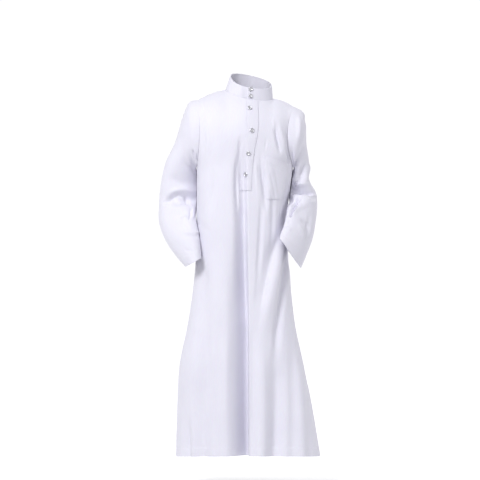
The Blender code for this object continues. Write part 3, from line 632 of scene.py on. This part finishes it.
def shell(name, outer, inner, material, closed=False):
    """Closes an outer and an inner net into one thin wall of cloth, laid out flat for its weave."""
    rows, columns = outer.shape[:2]
    under = rows * columns
    grid = np.arange(under).reshape(rows, columns)
    if closed:
        grid = np.concatenate([grid, grid[:, :1]], axis=1)
    quads = np.stack([grid[:-1, :-1], grid[:-1, 1:], grid[1:, 1:], grid[1:, :-1]], axis=-1).reshape(-1, 4)
    rims = [grid[0], grid[-1][::-1]]
    if not closed:
        rims += [grid[::-1, 0], grid[:, -1]]
    edges = np.concatenate([np.stack([rim[:-1], rim[1:]], axis=-1) for rim in rims])
    walls = np.stack([edges[:, 1], edges[:, 0], edges[:, 0] + under, edges[:, 1] + under], axis=-1)
    faces = np.concatenate([quads, quads[:, ::-1] + under, walls])
    points = np.concatenate([outer.reshape(-1, 3), inner.reshape(-1, 3)])
    first = points[faces[0]]
    facing = np.cross(first[1] - first[0], first[2] - first[1])
    if facing @ (outer[0, 0] - inner[0, 0]) < 0:
        faces = faces[:, ::-1]
    made = add_piece(name, points, faces.tolist(), material)
    mesh = made.data
    flat = np.stack([lengths(outer, 1), lengths(outer, 0)], axis=-1).reshape(-1, 2) * MM
    layer = mesh.uv_layers.new(name="cloth")
    corners = np.zeros(len(mesh.loops), np.int32)
    mesh.loops.foreach_get("vertex_index", corners)
    layer.data.foreach_set("uv", flat[corners % under].ravel())
    mesh.set_sharp_from_angle(angle=math.radians(SHARP_ANGLE))
    return made


def sewn(name, lines):
    """Rows of machine stitches along lines of points, each with the way out of the cloth."""
    points = []
    faces = []
    for path, out in lines:
        step = np.linalg.norm(np.diff(path, axis=0), axis=1)
        along = np.concatenate([[0], np.cumsum(step)])
        for start in np.arange(STITCH_PITCH / 2, along[-1] - STITCH_LENGTH, STITCH_PITCH):
            low, high = read_line(np.array([start, start + STITCH_LENGTH]), along, path)
            up = read_line(start, along, out)
            up = up / np.linalg.norm(up)
            side = np.cross(high - low, up)
            side = side / max(np.linalg.norm(side), 1e-9) * STITCH_THICK / 2
            first = len(points)
            points.append(low - up * STITCH_THICK / 3)
            for share in (0.25, 0.75):
                middle = low + (high - low) * share
                for lean, rise in ((-1, 0.0), (0, 0.5), (1, 0.0), (0, -0.5)):
                    points.append(middle + side * lean + up * STITCH_THICK * rise)
            points.append(high - up * STITCH_THICK / 3)
            for k in range(4):
                a, b = first + 1 + k, first + 1 + (k + 1) % 4
                faces.append([first, b, a])
                faces.append([a, b, b + 4, a + 4])
                faces.append([a + 4, b + 4, first + 9])
    return add_piece(name, points, faces, thread)


def sew_up(name, row, node, material, outer, inner, lines, closed=False):
    """A sewn piece in place of its solid: its cloth, and its rows of stitches."""
    made = shell(name + "_cloth", outer, inner, material, closed)
    stitches = sewn(name + row + "_stitches", lines)
    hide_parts(node)
    for piece in (made, stitches):
        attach(piece, "root")
    return made, stitches


def row_at(distances, value):
    return int(np.argmin(np.abs(distances - value)))


def panel_stitching(net, normals, along, from_side):
    """The hem's row and the rows down both vents."""
    half = net.shape[1] // 2
    hem = row_at(along[:, half], HEM_TURN - STITCH_IN)
    lines = [(net[hem], normals[hem])]
    rows = np.flatnonzero(net[:, 0, 2] < VENT_TOP + VENT_TURN)
    for first, part in ((0, slice(0, half)), (half, slice(half, None))):
        columns = [first + row_at(from_side[r, part], VENT_TURN - STITCH_IN) for r in rows]
        lines.append((net[rows, columns], normals[rows, columns]))
    return lines


def panel(name, node, side, columns, folds, creases, slack_start):
    """The shown front or back, sewn up: its finer net with folds, creases, slack, seams and turned edges."""
    coarse = panel_net(side, columns)
    top_row = len(coarse) - 1
    columns_at = np.linspace(0, columns, columns * FINER + 1)
    rows_at = np.linspace(0, top_row, top_row * FINER + 1)
    first_row = float(np.linalg.norm(coarse[1, columns // 2] - coarse[0, columns // 2]))
    rows_at = np.unique(np.concatenate([rows_at, np.array(HEM_ROWS_AT) / first_row]).round(5))
    net = between(between(coarse, rows_at, 0), columns_at, 1)
    chest = rows_at >= SKIRT_ROWS
    net[chest, 0], net[chest, -1] = armholes(side, (rows_at[chest] - SKIRT_ROWS) / CHEST_ROWS)
    net[-1] = top_edge(side, columns, (net[-1, 0], net[-1, -1]), columns_at)
    if side < 0:
        net = column_down_fold(net, dict(zip(FOLD_COLUMNS, folds[SHARPEST_FOLD])))
    normals = -side * normals_of(net)
    edge = np.minimum(1, FOLD_EDGE_HOLD * np.sin(math.pi * crowded(columns_at / columns))[None, :] ** 0.5)
    top = ease((top_row - rows_at) / FADING_ROWS)[:, None]
    x, z = net[:, :, 0], net[:, :, 2]
    across = lengths(net, 1)
    along = lengths(net, 0)
    from_side = np.minimum(across, across[:, -1:] - across)
    from_top = along[-1:] - along
    held = ease(from_side / SIDE_FADE) * ease(from_top / TOP_FADE)
    slack_share = LEAST_SLACK + ADDED_SLACK * ease(along[-1:] / ADDED_SLACK_LENGTH)
    closed_seam = np.where(z > VENT_TOP, 1.0, 0.0)
    lift = fold_height(folds, x, z) * edge * top
    lift += crease_height(creases, x, z) * held
    lift += uneven(across, along, slack_start) * held * slack_share
    lift -= SEAM_DIP * near(from_side, SEAM_DIP_REACH) * closed_seam
    lift -= SEAM_DIP * near(from_top, SEAM_DIP_REACH)
    turned = np.maximum(turned_edge(along, HEM_TURN), turned_edge(from_side, VENT_TURN) * (1 - closed_seam))
    net = net + straight_out(normals, x) * (lift + turned)[:, :, None]
    normals = -side * normals_of(net)
    inner = net - normals * (CLOTH + turned)[:, :, None]
    lines = panel_stitching(net, normals, along, from_side)
    return net, normals, *sew_up(name, "_hem", node, cloth, net, inner, lines)


cloth = white_cloth("white_cotton_cloth", CLOTH_COLOUR, CLOTH_SHADE, roughness=0.72)
thread = white_cloth("white_sewing_thread", CLOTH_COLOUR, CLOTH_SHADE, roughness=0.55)
front_net, front_normals, front, front_stitches = panel(
    "front", "front_panel", -1, FRONT_COLUMNS, FRONT_FOLDS, FRONT_CREASES, slack_start=0.4
)
_, _, back, back_stitches = panel(
    "back", "back_panel", 1, BACK_COLUMNS, BACK_FOLDS, BACK_CREASES, slack_start=2.3
)

# Sleeves. Each is one piece of the same cloth, set into the armhole and joined along its underside, bent at
# the elbow, with a turned cuff. Both lie just clear of the body, their cuffs near the pocket mouths.

SLEEVE_CLEARANCE = 2.4
CLEARING_START = 16
CLEARING_LENGTH = 110
SLEEVE_ROWS = 20
CUFF_TURN = 20
CUFF_ROWS_AT = (0.6, 1.6, 3.2, 16, 18, 19, 20, 21, 22, 24)
ROUND_POINTS = 132
ARMHOLE_INSET_FADE = 60
SLEEVE_TOP_FADE = 16
SLEEVE_ROUND = 300
SLEEVE_SLACK = 1.2
CREASES_BEHIND = 0.75
UNDERSEAM_DIP = 0.6
SLEEVE_FOLD_COLUMNS = ("along", "turn", "long", "wide", "skew", "depth")
RIGHT_SLEEVE_FOLDS = [
    (200, 0.27, 11, 0.24, 40, -13),
    (236, 0.24, 15, 0.16, -50, -5),
    (177, 0.28, 14, 0.22, 50, 5),
    (220, 0.30, 10, 0.16, 30, 6),
    (118, 0.34, 14, 0.15, 120, -5),
    (196, 0.74, 18, 0.20, -60, -6),
    (150, 0.70, 16, 0.18, 80, -5),
]
LEFT_SLEEVE_FOLDS = [
    (190, 0.27, 11, 0.25, -40, -17),
    (164, 0.22, 13, 0.22, -60, 8),
    (212, 0.20, 10, 0.20, -40, 9),
    (216, 0.42, 16, 0.14, 0, -10),
    (246, 0.24, 14, 0.16, -40, -6),
    (180, 0.74, 18, 0.20, 60, -6),
    (110, 0.70, 16, 0.18, -80, -5),
]
RIGHT_SLEEVE_CREASES = [
    (-151, -142, -145, -162, -141, -186, 5, 5, -6, -8, 0.3),
    (-131, -142, -135, -164, -140, -186, 5, 6, -5, -7, 0.3),
    (-143, -142, -141, -158, -140, -176, 4, 4, 2.5, 2.5, 0.35),
    (-170, -116, -160, -164, -158, -216, 10, 10, 2.5, 3, 0.4),
    (-233, -293, -188, -261, -150, -280, 10, 4, -6, -8, 0.2),
    (-236, -280, -188, -246, -150, -262, 9, 9, 3, 4, 0.3),
    (-196, -272, -185, -275, -174, -286, 6, 8, 3.5, 3.5, 0.4),
    (-166, -262, -163, -278, -152, -292, 6, 8, -3, -4, 0.35),
    (-156, -293, -155, -312, -159, -331, 4, 5, -4.5, -4, 0.35),
    (-150, -290, -148, -308, -152, -328, 5, 5, 2.5, 2.5, 0.35),
    (-180, -322, -170, -318, -160, -324, 6, 6, 3.5, 4, 0.4),
    (-214, -334, -180, -340, -150, -346, 12, 12, -1.6, -2.6, 0.35),
    (-178, -357, -150, -358, -118, -357, 5, 5, 2.6, 2.6, 0.35),
    (-178, -366, -150, -368, -126, -370, 8, 6, -2.6, -3, 0.35),
    (-218, -206, -190, -224, -160, -230, 12, 12, -1.4, -2.4, 0.4),
    (-176, -398, -158, -404, -146, -402, 7, 7, -1.8, -1.8, 0.4),
]
LEFT_SLEEVE_CREASES = [
    (143, -46, 146, -76, 143, -112, 7, 6, -5.5, -4.5, 0.35),
    (126, -46, 128, -84, 124, -132, 8, 9, 4.5, 3.5, 0.35),
    (108, -126, 111, -172, 114, -212, 6, 6, -5, -7, 0.3),
    (109, -236, 124, -228, 148, -218, 10, 4, -6, -3.5, 0.3),
    (108, -238, 128, -232, 160, -234, 4, 6, 4, 3.5, 0.3),
    (155, -172, 151, -200, 140, -228, 8, 8, 5, 5, 0.3),
    (146, -168, 139, -204, 118, -232, 5, 16, -6, -9, 0.3),
    (104, -254, 134, -253, 176, -258, 10, 3, -13, -10, 0.2),
    (131, -259, 154, -260, 179, -259, 4, 7, 4.5, 4.5, 0.25),
    (150, -272, 162, -270, 175, -271, 6, 6, -3.5, -3.5, 0.35),
    (136, -262, 119, -290, 102, -322, 3, 17, -17, -12, 0.2),
    (102, -312, 128, -290, 157, -286, 11, 11, 4, 4, 0.35),
    (126, -324, 147, -336, 151, -366, 9, 11, -5, -5, 0.35),
    (121, -336, 133, -354, 141, -374, 6, 4, 4.5, 4, 0.35),
    (93, -324, 99, -328, 104, -336, 5, 5, -4, -4, 0.4),
    (88, -346, 98, -348, 108, -356, 6, 6, 3, 3, 0.4),
    (158, -300, 152, -345, 138, -392, 9, 9, -2.6, -2.6, 0.35),
]


def clear_of_body(points, clear):
    """Moves sleeve points that would lie in the body out to just clear of its side."""
    height = points[:, 2]
    left, right, front_depth, back_depth, turn, square = (
        column(BODY, BODY_COLUMNS, name, height) for name in BODY_COLUMNS[1:]
    )
    middle = (left + right) / 2
    x = points[:, 0] - middle
    y = points[:, 1] - turn * x
    ridges = [fold_height(folds, points[:, 0], height) for folds in (FRONT_FOLDS, BACK_FOLDS)]
    clearance = clear + np.maximum(np.where(y < 0, *ridges), 0)
    half = (right - left) / 2 + clearance
    depth = np.where(y < 0, front_depth, back_depth) + clearance
    level = (np.abs(x) / half) ** square + (np.abs(y) / depth) ** square
    grow = np.where(level < 1, np.maximum(level, 1e-6) ** (-1 / square), 1)
    grow = np.where(height < ARMPIT_HEIGHT + 1, grow, 1)
    return np.column_stack([middle + x * grow, y * grow + turn * x * grow, height])


def facing_out(net):
    normals = normals_of(net, closed=True)
    outward = np.sum(normals * (net - net.mean(axis=1, keepdims=True))) > 0
    return normals if outward else -normals


def sleeve(name, node, table, inset, folds, creases, slack_start):
    """A sleeve, from its armhole to its cuff, each row one turn: outer edge, front, inner edge, back."""
    longest = table[-1][0]
    alongs = np.linspace(0, longest, SLEEVE_ROWS * FINER + 1)
    alongs = np.unique(np.concatenate([alongs, longest - np.array(CUFF_ROWS_AT)]).round(3))
    turns = np.arange(ROUND_POINTS) / ROUND_POINTS
    angle = 2 * math.pi * turns[:, None]
    rings = []
    for along in alongs:
        cell = {key: float(column(table, SLEEVE_COLUMNS, key, along)) for key in SLEEVE_COLUMNS}
        rings.append(section(cell, angle, -1, inset * max(0.0, 1 - along / ARMHOLE_INSET_FADE) ** 2))
    net = np.array(rings)
    normals = facing_out(net)
    from_armhole, around = np.meshgrid(alongs, turns, indexing="ij")
    lift = np.zeros(net.shape[:2])
    for row in folds:
        fold = dict(zip(SLEEVE_FOLD_COLUMNS, row))
        away = (around - fold["turn"] + 0.5) % 1 - 0.5
        bend = near(from_armhole - fold["along"] - fold["skew"] * away, fold["long"])
        lift += fold["depth"] * bend * hump(np.abs(away), fold["wide"])
    in_front = ease(0.5 + np.sin(angle[:, 0]) / 0.5)[None, :]
    held = ease(from_armhole / SLEEVE_TOP_FADE)
    shown = in_front + CREASES_BEHIND * (1 - in_front)
    lift += crease_height(creases, net[:, :, 0], net[:, :, 2]) * shown * held
    lift += SLEEVE_SLACK * uneven(around * SLEEVE_ROUND, from_armhole, slack_start) * held
    lift -= SEAM_DIP * near(from_armhole, SEAM_DIP_REACH)
    lift -= UNDERSEAM_DIP * SEAM_DIP * near(np.abs(around - 0.5) * SLEEVE_ROUND, SEAM_DIP_REACH)
    turned = turned_edge(longest - from_armhole, CUFF_TURN)
    net = net + normals * (lift + turned)[:, :, None]
    for index in range(1, len(net)):
        clear = SLEEVE_CLEARANCE * ease((alongs[index] + CLEARING_START) / CLEARING_LENGTH)
        net[index] = clear_of_body(net[index], clear)
    normals = facing_out(net)
    inner = net - normals * (CLOTH + turned)[:, :, None]
    ring = row_at(longest - alongs, CUFF_TURN - STITCH_IN)
    line = [np.concatenate([grid[ring], grid[ring, :1]]) for grid in (net, normals)]
    return sew_up(name, "_cuff", node, cloth, net, inner, [line], closed=True)


right_sleeve, right_cuff_stitches = sleeve(
    "right_sleeve", "sleeve_wearer_right", RIGHT_SLEEVE, RIGHT_ARMHOLE_INSET,
    RIGHT_SLEEVE_FOLDS, RIGHT_SLEEVE_CREASES, slack_start=1.1,
)
left_sleeve, left_cuff_stitches = sleeve(
    "left_sleeve", "sleeve_wearer_left", LEFT_SLEEVE, LEFT_ARMHOLE_INSET,
    LEFT_SLEEVE_FOLDS, LEFT_SLEEVE_CREASES, slack_start=3.7,
)

# Stand collar. One band of the same cloth, stiffened inside, sewn round the neckline and edge stitched. Its
# ends lap at the front, where two snaps close them.

COLLAR_THICK = 1.7
COLLAR_HEIGHT = 35
COLLAR_LEAN = 3
COLLAR_LEAN_RIGHT = 9
COLLAR_FRONT_DIP = 6
COLLAR_UNDER_END_X = 16
COLLAR_TOP_END_X = -8
COLLAR_CORNER = 6
COLLAR_LAP = 0.44
COLLAR_STEP = 0.25
COLLAR_COLUMNS = 240
COLLAR_SHARES = 14
COLLAR_STITCH_IN = 3.5
COLLAR_RIPPLE = 0.35
COLLAR_SEAT = 0.9
LAID_ON_GAP = 0.9
EDGE_ROLL = 0.5
COLLAR_COLOUR = (0.80, 0.79, 0.88)
COLLAR_SHADE = (0.74, 0.73, 0.83)


def quilted(from_edge, stitch_in, roll_reach, groove, groove_reach):
    """The drop of a stitched edge: rolled over at the rim and drawn in along its stitches."""
    return -EDGE_ROLL * near(from_edge, roll_reach) - groove * near(from_edge - stitch_in, groove_reach)


def collar_end(x):
    """The angle round the neckline at which the front of it passes x."""
    return math.pi / 2 + math.asin((x - NECK_CENTRE_X) / NECK_HALF_WIDTH)


stiff_cloth = white_cloth("white_cotton_stiffened", COLLAR_COLOUR, COLLAR_SHADE, roughness=0.66)
collar_start = collar_end(COLLAR_UNDER_END_X)
collar_stop = collar_end(COLLAR_TOP_END_X) - 2 * math.pi
collar_angle = np.linspace(collar_start, collar_stop, COLLAR_COLUMNS + 1)
collar_under = 1 - ease((collar_start - collar_angle - COLLAR_LAP) / COLLAR_STEP)
collar_shrink = collar_under * (COLLAR_THICK + 2 * LAID_ON_GAP)
collar_low = neck_point(collar_angle)
collar_length = lengths(collar_low[None], 1)[0]
to_end = np.minimum(collar_length, collar_length[-1] - collar_length)
inside_corner = np.clip(COLLAR_CORNER - to_end, 0, COLLAR_CORNER)
collar_corner = COLLAR_CORNER - np.sqrt(COLLAR_CORNER**2 - inside_corner**2)
collar_lean = COLLAR_LEAN + COLLAR_LEAN_RIGHT * np.clip(np.cos(collar_angle), 0, 1)
collar_height = COLLAR_HEIGHT - COLLAR_FRONT_DIP * np.clip(np.sin(collar_angle), 0, 1) - collar_corner
collar_rows = []
for share in np.linspace(0, 1, COLLAR_SHARES + 1):
    row = np.array([neck_point(a, s) for a, s in zip(collar_angle, collar_shrink + collar_lean * share)])
    row[:, 2] = collar_low[:, 2] + LAID_ON_GAP * share - COLLAR_SEAT * (1 - share) + share * collar_height
    collar_rows.append(row)
collar_net = np.array(collar_rows)
collar_normals = normals_of(collar_net)
if np.sum(collar_normals * (collar_net - neck_point(np.array([0.0, math.pi])).mean(axis=0))) < 0:
    collar_normals = -collar_normals
collar_up = lengths(collar_net, 0)
from_rim = np.minimum(np.minimum(collar_up, collar_up[-1:] - collar_up), to_end[None, :])
collar_wave = np.sin(collar_length / 9 + 1.6 * np.sin(collar_length / 23))[None, :]
collar_lift = quilted(from_rim, COLLAR_STITCH_IN, roll_reach=1.2, groove=0.22, groove_reach=0.9)
collar_lift = collar_lift + COLLAR_RIPPLE * collar_wave * (collar_up / COLLAR_HEIGHT)
collar_net = collar_net + collar_normals * collar_lift[:, :, None]
collar_sewn_rows = (
    row_at(collar_up[:, 0], COLLAR_STITCH_IN),
    row_at(collar_up[:, COLLAR_COLUMNS // 4], COLLAR_HEIGHT - COLLAR_STITCH_IN),
)
collar_lines = [(collar_net[r], collar_normals[r]) for r in collar_sewn_rows]
collar_inner = collar_net - collar_normals * COLLAR_THICK
collar, collar_stitches = sew_up(
    "collar", "", "collar_band", stiff_cloth, collar_net, collar_inner, collar_lines
)

# Placket. A stiffened strip laid over the front opening from under the collar to the breast, stitched down
# both sides, with a boxed end. It swings to the wearer's right with the pull of the cloth.

STRIP_THICK = 1.2
PLACKET_WIDTH = 30
PLACKET_COLUMNS = ("height", "middle")
PLACKET_PATH = [
    (-250, -12),
    (-207, -10.5),
    (-152, -5),
    (-95, 4.6),
    (-16, 5),
]
PLACKET_SQUARES = (24, 176)
PLACKET_STITCH_IN = 3
PLACKET_BOX = 26
PLACKET_RIPPLE = 0.3
SEARCH_START = 0.8
SEARCH_ROUNDS = 12


def find_on_front(x, z):
    """The place on the front's net, as row and column, of the point that shows at x and z, found by steps."""
    rows, columns = front_net.shape[:2]
    row, place = rows * SEARCH_START, columns / 2
    for _ in range(SEARCH_ROUNDS):
        r = int(np.clip(row, 0, rows - 2))
        across = front_net[r, :, 0] * (1 - row + r) + front_net[r + 1, :, 0] * (row - r)
        place = float(np.interp(x, across, np.arange(columns)))
        c = int(np.clip(place, 0, columns - 2))
        heights = front_net[:, c, 2] * (1 - place + c) + front_net[:, c + 1, 2] * (place - c)
        row = float(np.interp(z, heights, np.arange(rows)))
    return row, place


def read_net(net, rows, places):
    """The net's values at fractional rows and columns."""
    r = np.clip(rows.astype(int), 0, net.shape[0] - 2)
    c = np.clip(places.astype(int), 0, net.shape[1] - 2)
    t = (rows - r)[..., None]
    u = (places - c)[..., None]
    return (
        net[r, c] * (1 - t) * (1 - u) + net[r + 1, c] * t * (1 - u)
        + net[r, c + 1] * (1 - t) * u + net[r + 1, c + 1] * t * u
    )


def laid_on_front(across, heights, raised):
    """A net of points on the front, moved out from it: outer and inner points and the way out."""
    found = np.array([find_on_front(x, z) for x, z in zip(across.ravel(), heights.ravel())])
    rows, places = found.T.reshape(2, *across.shape)
    out = read_net(front_normals, rows, places)
    out = out / np.linalg.norm(out, axis=2, keepdims=True)
    inner = read_net(front_net, rows, places) + out * (LAID_ON_GAP + raised)[:, :, None]
    return inner + out * STRIP_THICK, inner, out


def patch(name, node, material, laid, lift, columns, rows, foot=0):
    """A patch laid on the front, stitched down two of its columns and across two of its rows."""
    net, inner, out = laid
    net = net + out * lift[:, :, None]
    across = slice(columns[0], columns[1] + 1)
    lines = [(net[foot:, c], out[foot:, c]) for c in columns]
    lines += [(net[r, across], out[r, across]) for r in rows]
    return sew_up(name, "", node, material, net, inner, lines)


placket_up, placket_off = np.meshgrid(
    np.linspace(PLACKET_PATH[0][0], PLACKET_PATH[-1][0], PLACKET_SQUARES[1] + 1),
    np.linspace(-0.5, 0.5, PLACKET_SQUARES[0] + 1) * PLACKET_WIDTH,
    indexing="ij",
)
placket_across = column(PLACKET_PATH, PLACKET_COLUMNS, "middle", placket_up) + placket_off
placket_in = np.minimum(PLACKET_WIDTH / 2 - np.abs(placket_off), placket_up - PLACKET_PATH[0][0])
placket_wave = np.sin(placket_up / 7 + np.sin(placket_up / 17) * 2) * np.sin(placket_off / 9)
placket_quilt = quilted(placket_in, PLACKET_STITCH_IN, roll_reach=0.9, groove=0.25, groove_reach=1.0)
placket_first = round(PLACKET_STITCH_IN / PLACKET_WIDTH * PLACKET_SQUARES[0])
placket, placket_stitches = patch(
    "placket", "front_placket", stiff_cloth,
    laid=laid_on_front(placket_across, placket_up, 0 * placket_up),
    lift=PLACKET_RIPPLE * placket_wave + placket_quilt,
    columns=(placket_first, PLACKET_SQUARES[0] - placket_first),
    rows=[row_at(placket_up[:, 0] - PLACKET_PATH[0][0], up) for up in (PLACKET_STITCH_IN, PLACKET_BOX)],
)

# Chest pocket. A patch of the same cloth on the wearer's left breast, its mouth turned in and stitched and
# sloping down towards the arm, its sides and rounded foot sewn close to the edge.

POCKET_TOP_IN = (39, -160)
POCKET_TOP_OUT = (101, -180)
POCKET_LOW_IN = (36, -272)
POCKET_LOW_OUT = (86, -271)
POCKET_LOW_CORNER = 12
POCKET_CORNER_SHARE = 0.18
POCKET_FULLNESS = 1.6
POCKET_SQUARES = (48, 78)
POCKET_MOUTH_TURN = 20
POCKET_MOUTH_GROOVE = 0.2
POCKET_MEASURED_COLUMN = 20
POCKET_STITCH_IN = 2.5

pocket_up, pocket_side = np.meshgrid(
    np.linspace(0, 1, POCKET_SQUARES[1] + 1), np.linspace(0, 1, POCKET_SQUARES[0] + 1), indexing="ij"
)
pocket_edge = np.minimum(pocket_side, 1 - pocket_side)
pocket_round = np.clip(1 - pocket_edge / POCKET_CORNER_SHARE, 0, 1) ** 2
pocket_corner = POCKET_LOW_CORNER * pocket_round * (1 - pocket_up)
pocket_low, pocket_top = (
    np.array(start) * (1 - pocket_side[..., None]) + np.array(stop) * pocket_side[..., None]
    for start, stop in ((POCKET_LOW_IN, POCKET_LOW_OUT), (POCKET_TOP_IN, POCKET_TOP_OUT))
)
pocket_place = pocket_low * (1 - pocket_up[..., None]) + pocket_top * pocket_up[..., None]
pocket_full = POCKET_FULLNESS * np.sin(math.pi * pocket_side) * pocket_up**2
pocket_laid = laid_on_front(pocket_place[..., 0], pocket_place[..., 1] + pocket_corner, pocket_full)
pocket_across = lengths(pocket_laid[0], 1)
pocket_rise = lengths(pocket_laid[0], 0)
pocket_from_mouth = pocket_rise[-1:] - pocket_rise
pocket_in = np.minimum(np.minimum(pocket_across, pocket_across[:, -1:] - pocket_across), pocket_rise)
pocket_quilt = quilted(pocket_in, POCKET_STITCH_IN, roll_reach=0.9, groove=0.25, groove_reach=0.9)
row_across = pocket_across[POCKET_SQUARES[1] // 2 + 1]
foot_at = row_at(pocket_rise[:, POCKET_MEASURED_COLUMN], POCKET_STITCH_IN)
pocket, pocket_stitches = patch(
    "chest_pocket", "chest_pocket", cloth,
    laid=pocket_laid,
    lift=pocket_quilt - POCKET_MOUTH_GROOVE * near(pocket_from_mouth - POCKET_MOUTH_TURN, 1.2),
    columns=(row_at(row_across, POCKET_STITCH_IN), row_at(row_across[-1] - row_across, POCKET_STITCH_IN)),
    rows=(foot_at, row_at(pocket_from_mouth[:, POCKET_MEASURED_COLUMN], POCKET_MOUTH_TURN)),
    foot=foot_at,
)

# Snaps. Six pressed metal caps with a raised ring and a dished middle, two on the collar's top end and four
# down the placket, each pinched through the cloth.

SNAP_RADIUS = 6
SNAP_HEIGHT = 2.4
SNAP_SIDES = 48
SNAP_DISH = 0.52
# The cap's outline from its rim over the ring into the dish, in parts of its radius and height.
SNAP_PROFILE = (
    (0.96, 0), (1, 0.12), (1, 0.45), (0.97, 0.66), (0.91, 0.86), (0.83, 0.97), (0.75, 1),
    (0.68, 0.96), (0.62, 0.84), (0.57, 0.66), (0.52, 0.50), (0.44, 0.42), (0.30, 0.44), (0.15, 0.50),
)
SCRATCH_SCALE = 900
METAL_COLOUR = (0.76, 0.76, 0.80)
METAL_SHADE = 0.8


def pressed_metal(name, colour):
    """Bright pressed steel, finely scratched and unevenly dull."""
    material, tree, shader = paint(name)
    spot = add_node(tree, "TexCoord", {}).outputs["Object"]
    scratch = noise(tree, spot, SCRATCH_SCALE, detail=4).outputs["Fac"]
    dull = (*(METAL_SHADE * c for c in colour), 1)
    inputs = {
        "Base Color": mixed(tree, scratch, (*colour, 1), dull),
        "Roughness": graded(tree, scratch, (0, 1), (0.24, 0.42)),
        "Normal": relief(tree, (0.2, 0.00005, scratch)),
        "Metallic": 1.0,
    }
    fill_inputs(tree, shader, inputs)
    return material


metal = pressed_metal("pressed_metal", METAL_COLOUR)


def snap(name, node):
    """One cap, turned round the axis of its solid."""
    solid = np.array([v.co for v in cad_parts[node].data.vertices]) / MM
    middle = solid.mean(axis=0)
    normal = np.linalg.svd(solid - middle)[2][2]
    normal = normal * (-1 if normal[1] > 0 else 1)
    base = middle + normal * (((solid - middle) @ normal).min())
    side = np.cross([0, 0, 1], normal)
    side = side / np.linalg.norm(side)
    up = np.cross(normal, side)
    angle = 2 * math.pi * np.arange(SNAP_SIDES)[:, None] / SNAP_SIDES
    ring = side * np.cos(angle) + up * np.sin(angle)
    rings = [base + ring * wide * SNAP_RADIUS + normal * high * SNAP_HEIGHT for wide, high in SNAP_PROFILE]
    points = np.concatenate([*rings, [base + normal * SNAP_DISH * SNAP_HEIGHT, base]])
    faces = []
    last = (len(SNAP_PROFILE) - 1) * SNAP_SIDES
    for k in range(SNAP_SIDES):
        j = (k + 1) % SNAP_SIDES
        for first in range(0, last, SNAP_SIDES):
            a, b = first + k, first + j
            faces.append([a, b, b + SNAP_SIDES, a + SNAP_SIDES])
        faces.append([last + k, last + j, len(points) - 2])
        faces.append([j, k, len(points) - 1])
    made = add_piece(name, points, faces, metal)
    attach(made, "root")
    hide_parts(node)
    return made


collar_caps = [snap(f"collar_cap_{n}", f"snap_collar_{n}") for n in (1, 2)]
placket_caps = [snap(f"placket_cap_{n}", f"snap_placket_{n}") for n in (1, 2, 3, 4)]

# The picture. A pale grey floor below the hem that glows with painted light, the more the further back it
# lies, a white surround that is brighter behind and to the viewer's left, a large soft light on that side,
# and a level camera straight in front.

FLOOR_HEIGHT = -1020
FLOOR_HALF = 20000
FLOOR_COLOUR = (0.60, 0.60, 0.61, 1)
SURROUND_COLOUR = (0.985, 0.985, 1.0, 1)
BEHIND_BRIGHTNESS = 1.05
PICTURE_MIDDLE = (-0.0262, -0.377)
PICTURE_WIDTH = 1.2576
CAMERA_AWAY = 5.0

scene = bpy.context.scene
scene.view_settings.view_transform = "Standard"

floor_paint, floor_tree, floor_shader = paint("floor_with_painted_glow")
floor_spot = add_node(floor_tree, "TexCoord", {}).outputs["Object"]
floor_away = add_node(floor_tree, "SeparateXYZ", {"Vector": floor_spot}).outputs["Y"]
floor_inputs = {
    "Base Color": FLOOR_COLOUR,
    "Roughness": 0.9,
    "Specular IOR Level": 0.0,
    # Painted glow: the floor gives off white light, none in front of the robe and more the further back it
    # lies.
    "Emission Color": (1, 1, 1, 1),
    "Emission Strength": graded(floor_tree, floor_away, (-0.4, 0.3), (0.0, 0.75)),
}
fill_inputs(floor_tree, floor_shader, floor_inputs)
floor_corners = [
    (x * FLOOR_HALF, y * FLOOR_HALF, FLOOR_HEIGHT) for x, y in ((-1, -1), (1, -1), (1, 1), (-1, 1))
]
floor = add_piece("floor", floor_corners, [(0, 1, 2, 3)], floor_paint)

world = bpy.data.worlds.new("white_surround")
world.use_nodes = True
scene.world = world
sky = world.node_tree
heading = add_node(sky, "TexCoord", {}).outputs["Generated"]
heading = add_node(sky, "SeparateXYZ", {"Vector": heading})
behind = graded(sky, heading.outputs["Y"], (0.55, 0.9), (0.0, 1.0))
sides = graded(sky, heading.outputs["X"], (0.35, 1.0), (0.52, 1.10))
level = add_node(sky, "Mix", {0: behind, 2: sides, 3: BEHIND_BRIGHTNESS}, data_type="FLOAT")
fill_inputs(sky, sky.nodes["Background"], {"Color": SURROUND_COLOUR, "Strength": level.outputs[0]})


def soft_light(name, place, target, size, power, colour):
    light = bpy.data.lights.new(name, "AREA")
    light.shape = "RECTANGLE"
    light.size, light.size_y = size
    light.energy = power
    light.color = colour
    made = bpy.data.objects.new(name, light)
    made.location = place
    way = np.array(target, float) - np.array(place, float)
    made.rotation_euler = (
        math.atan2(math.hypot(way[0], way[1]), -way[2]), 0, math.atan2(way[1], way[0]) - math.pi / 2
    )
    scene.collection.objects.link(made)


soft_light("key_softbox", (-1.6, -3.1, 2.0), (0, 0, -0.4), (1.1, 1.1), 112, (1.0, 1.0, 1.0))
soft_light("front_fill", (1.2, -3.4, 0.2), (0, 0, -0.5), (2.0, 2.0), 6, (0.96, 0.97, 1.0))

camera = bpy.data.objects.new("camera", bpy.data.cameras.new("camera"))
camera.location = (PICTURE_MIDDLE[0], -CAMERA_AWAY, PICTURE_MIDDLE[1])
camera.rotation_euler = (math.pi / 2, 0, 0)
camera.data.sensor_width = 36
camera.data.lens = camera.data.sensor_width * CAMERA_AWAY / PICTURE_WIDTH
scene.collection.objects.link(camera)
scene.camera = camera
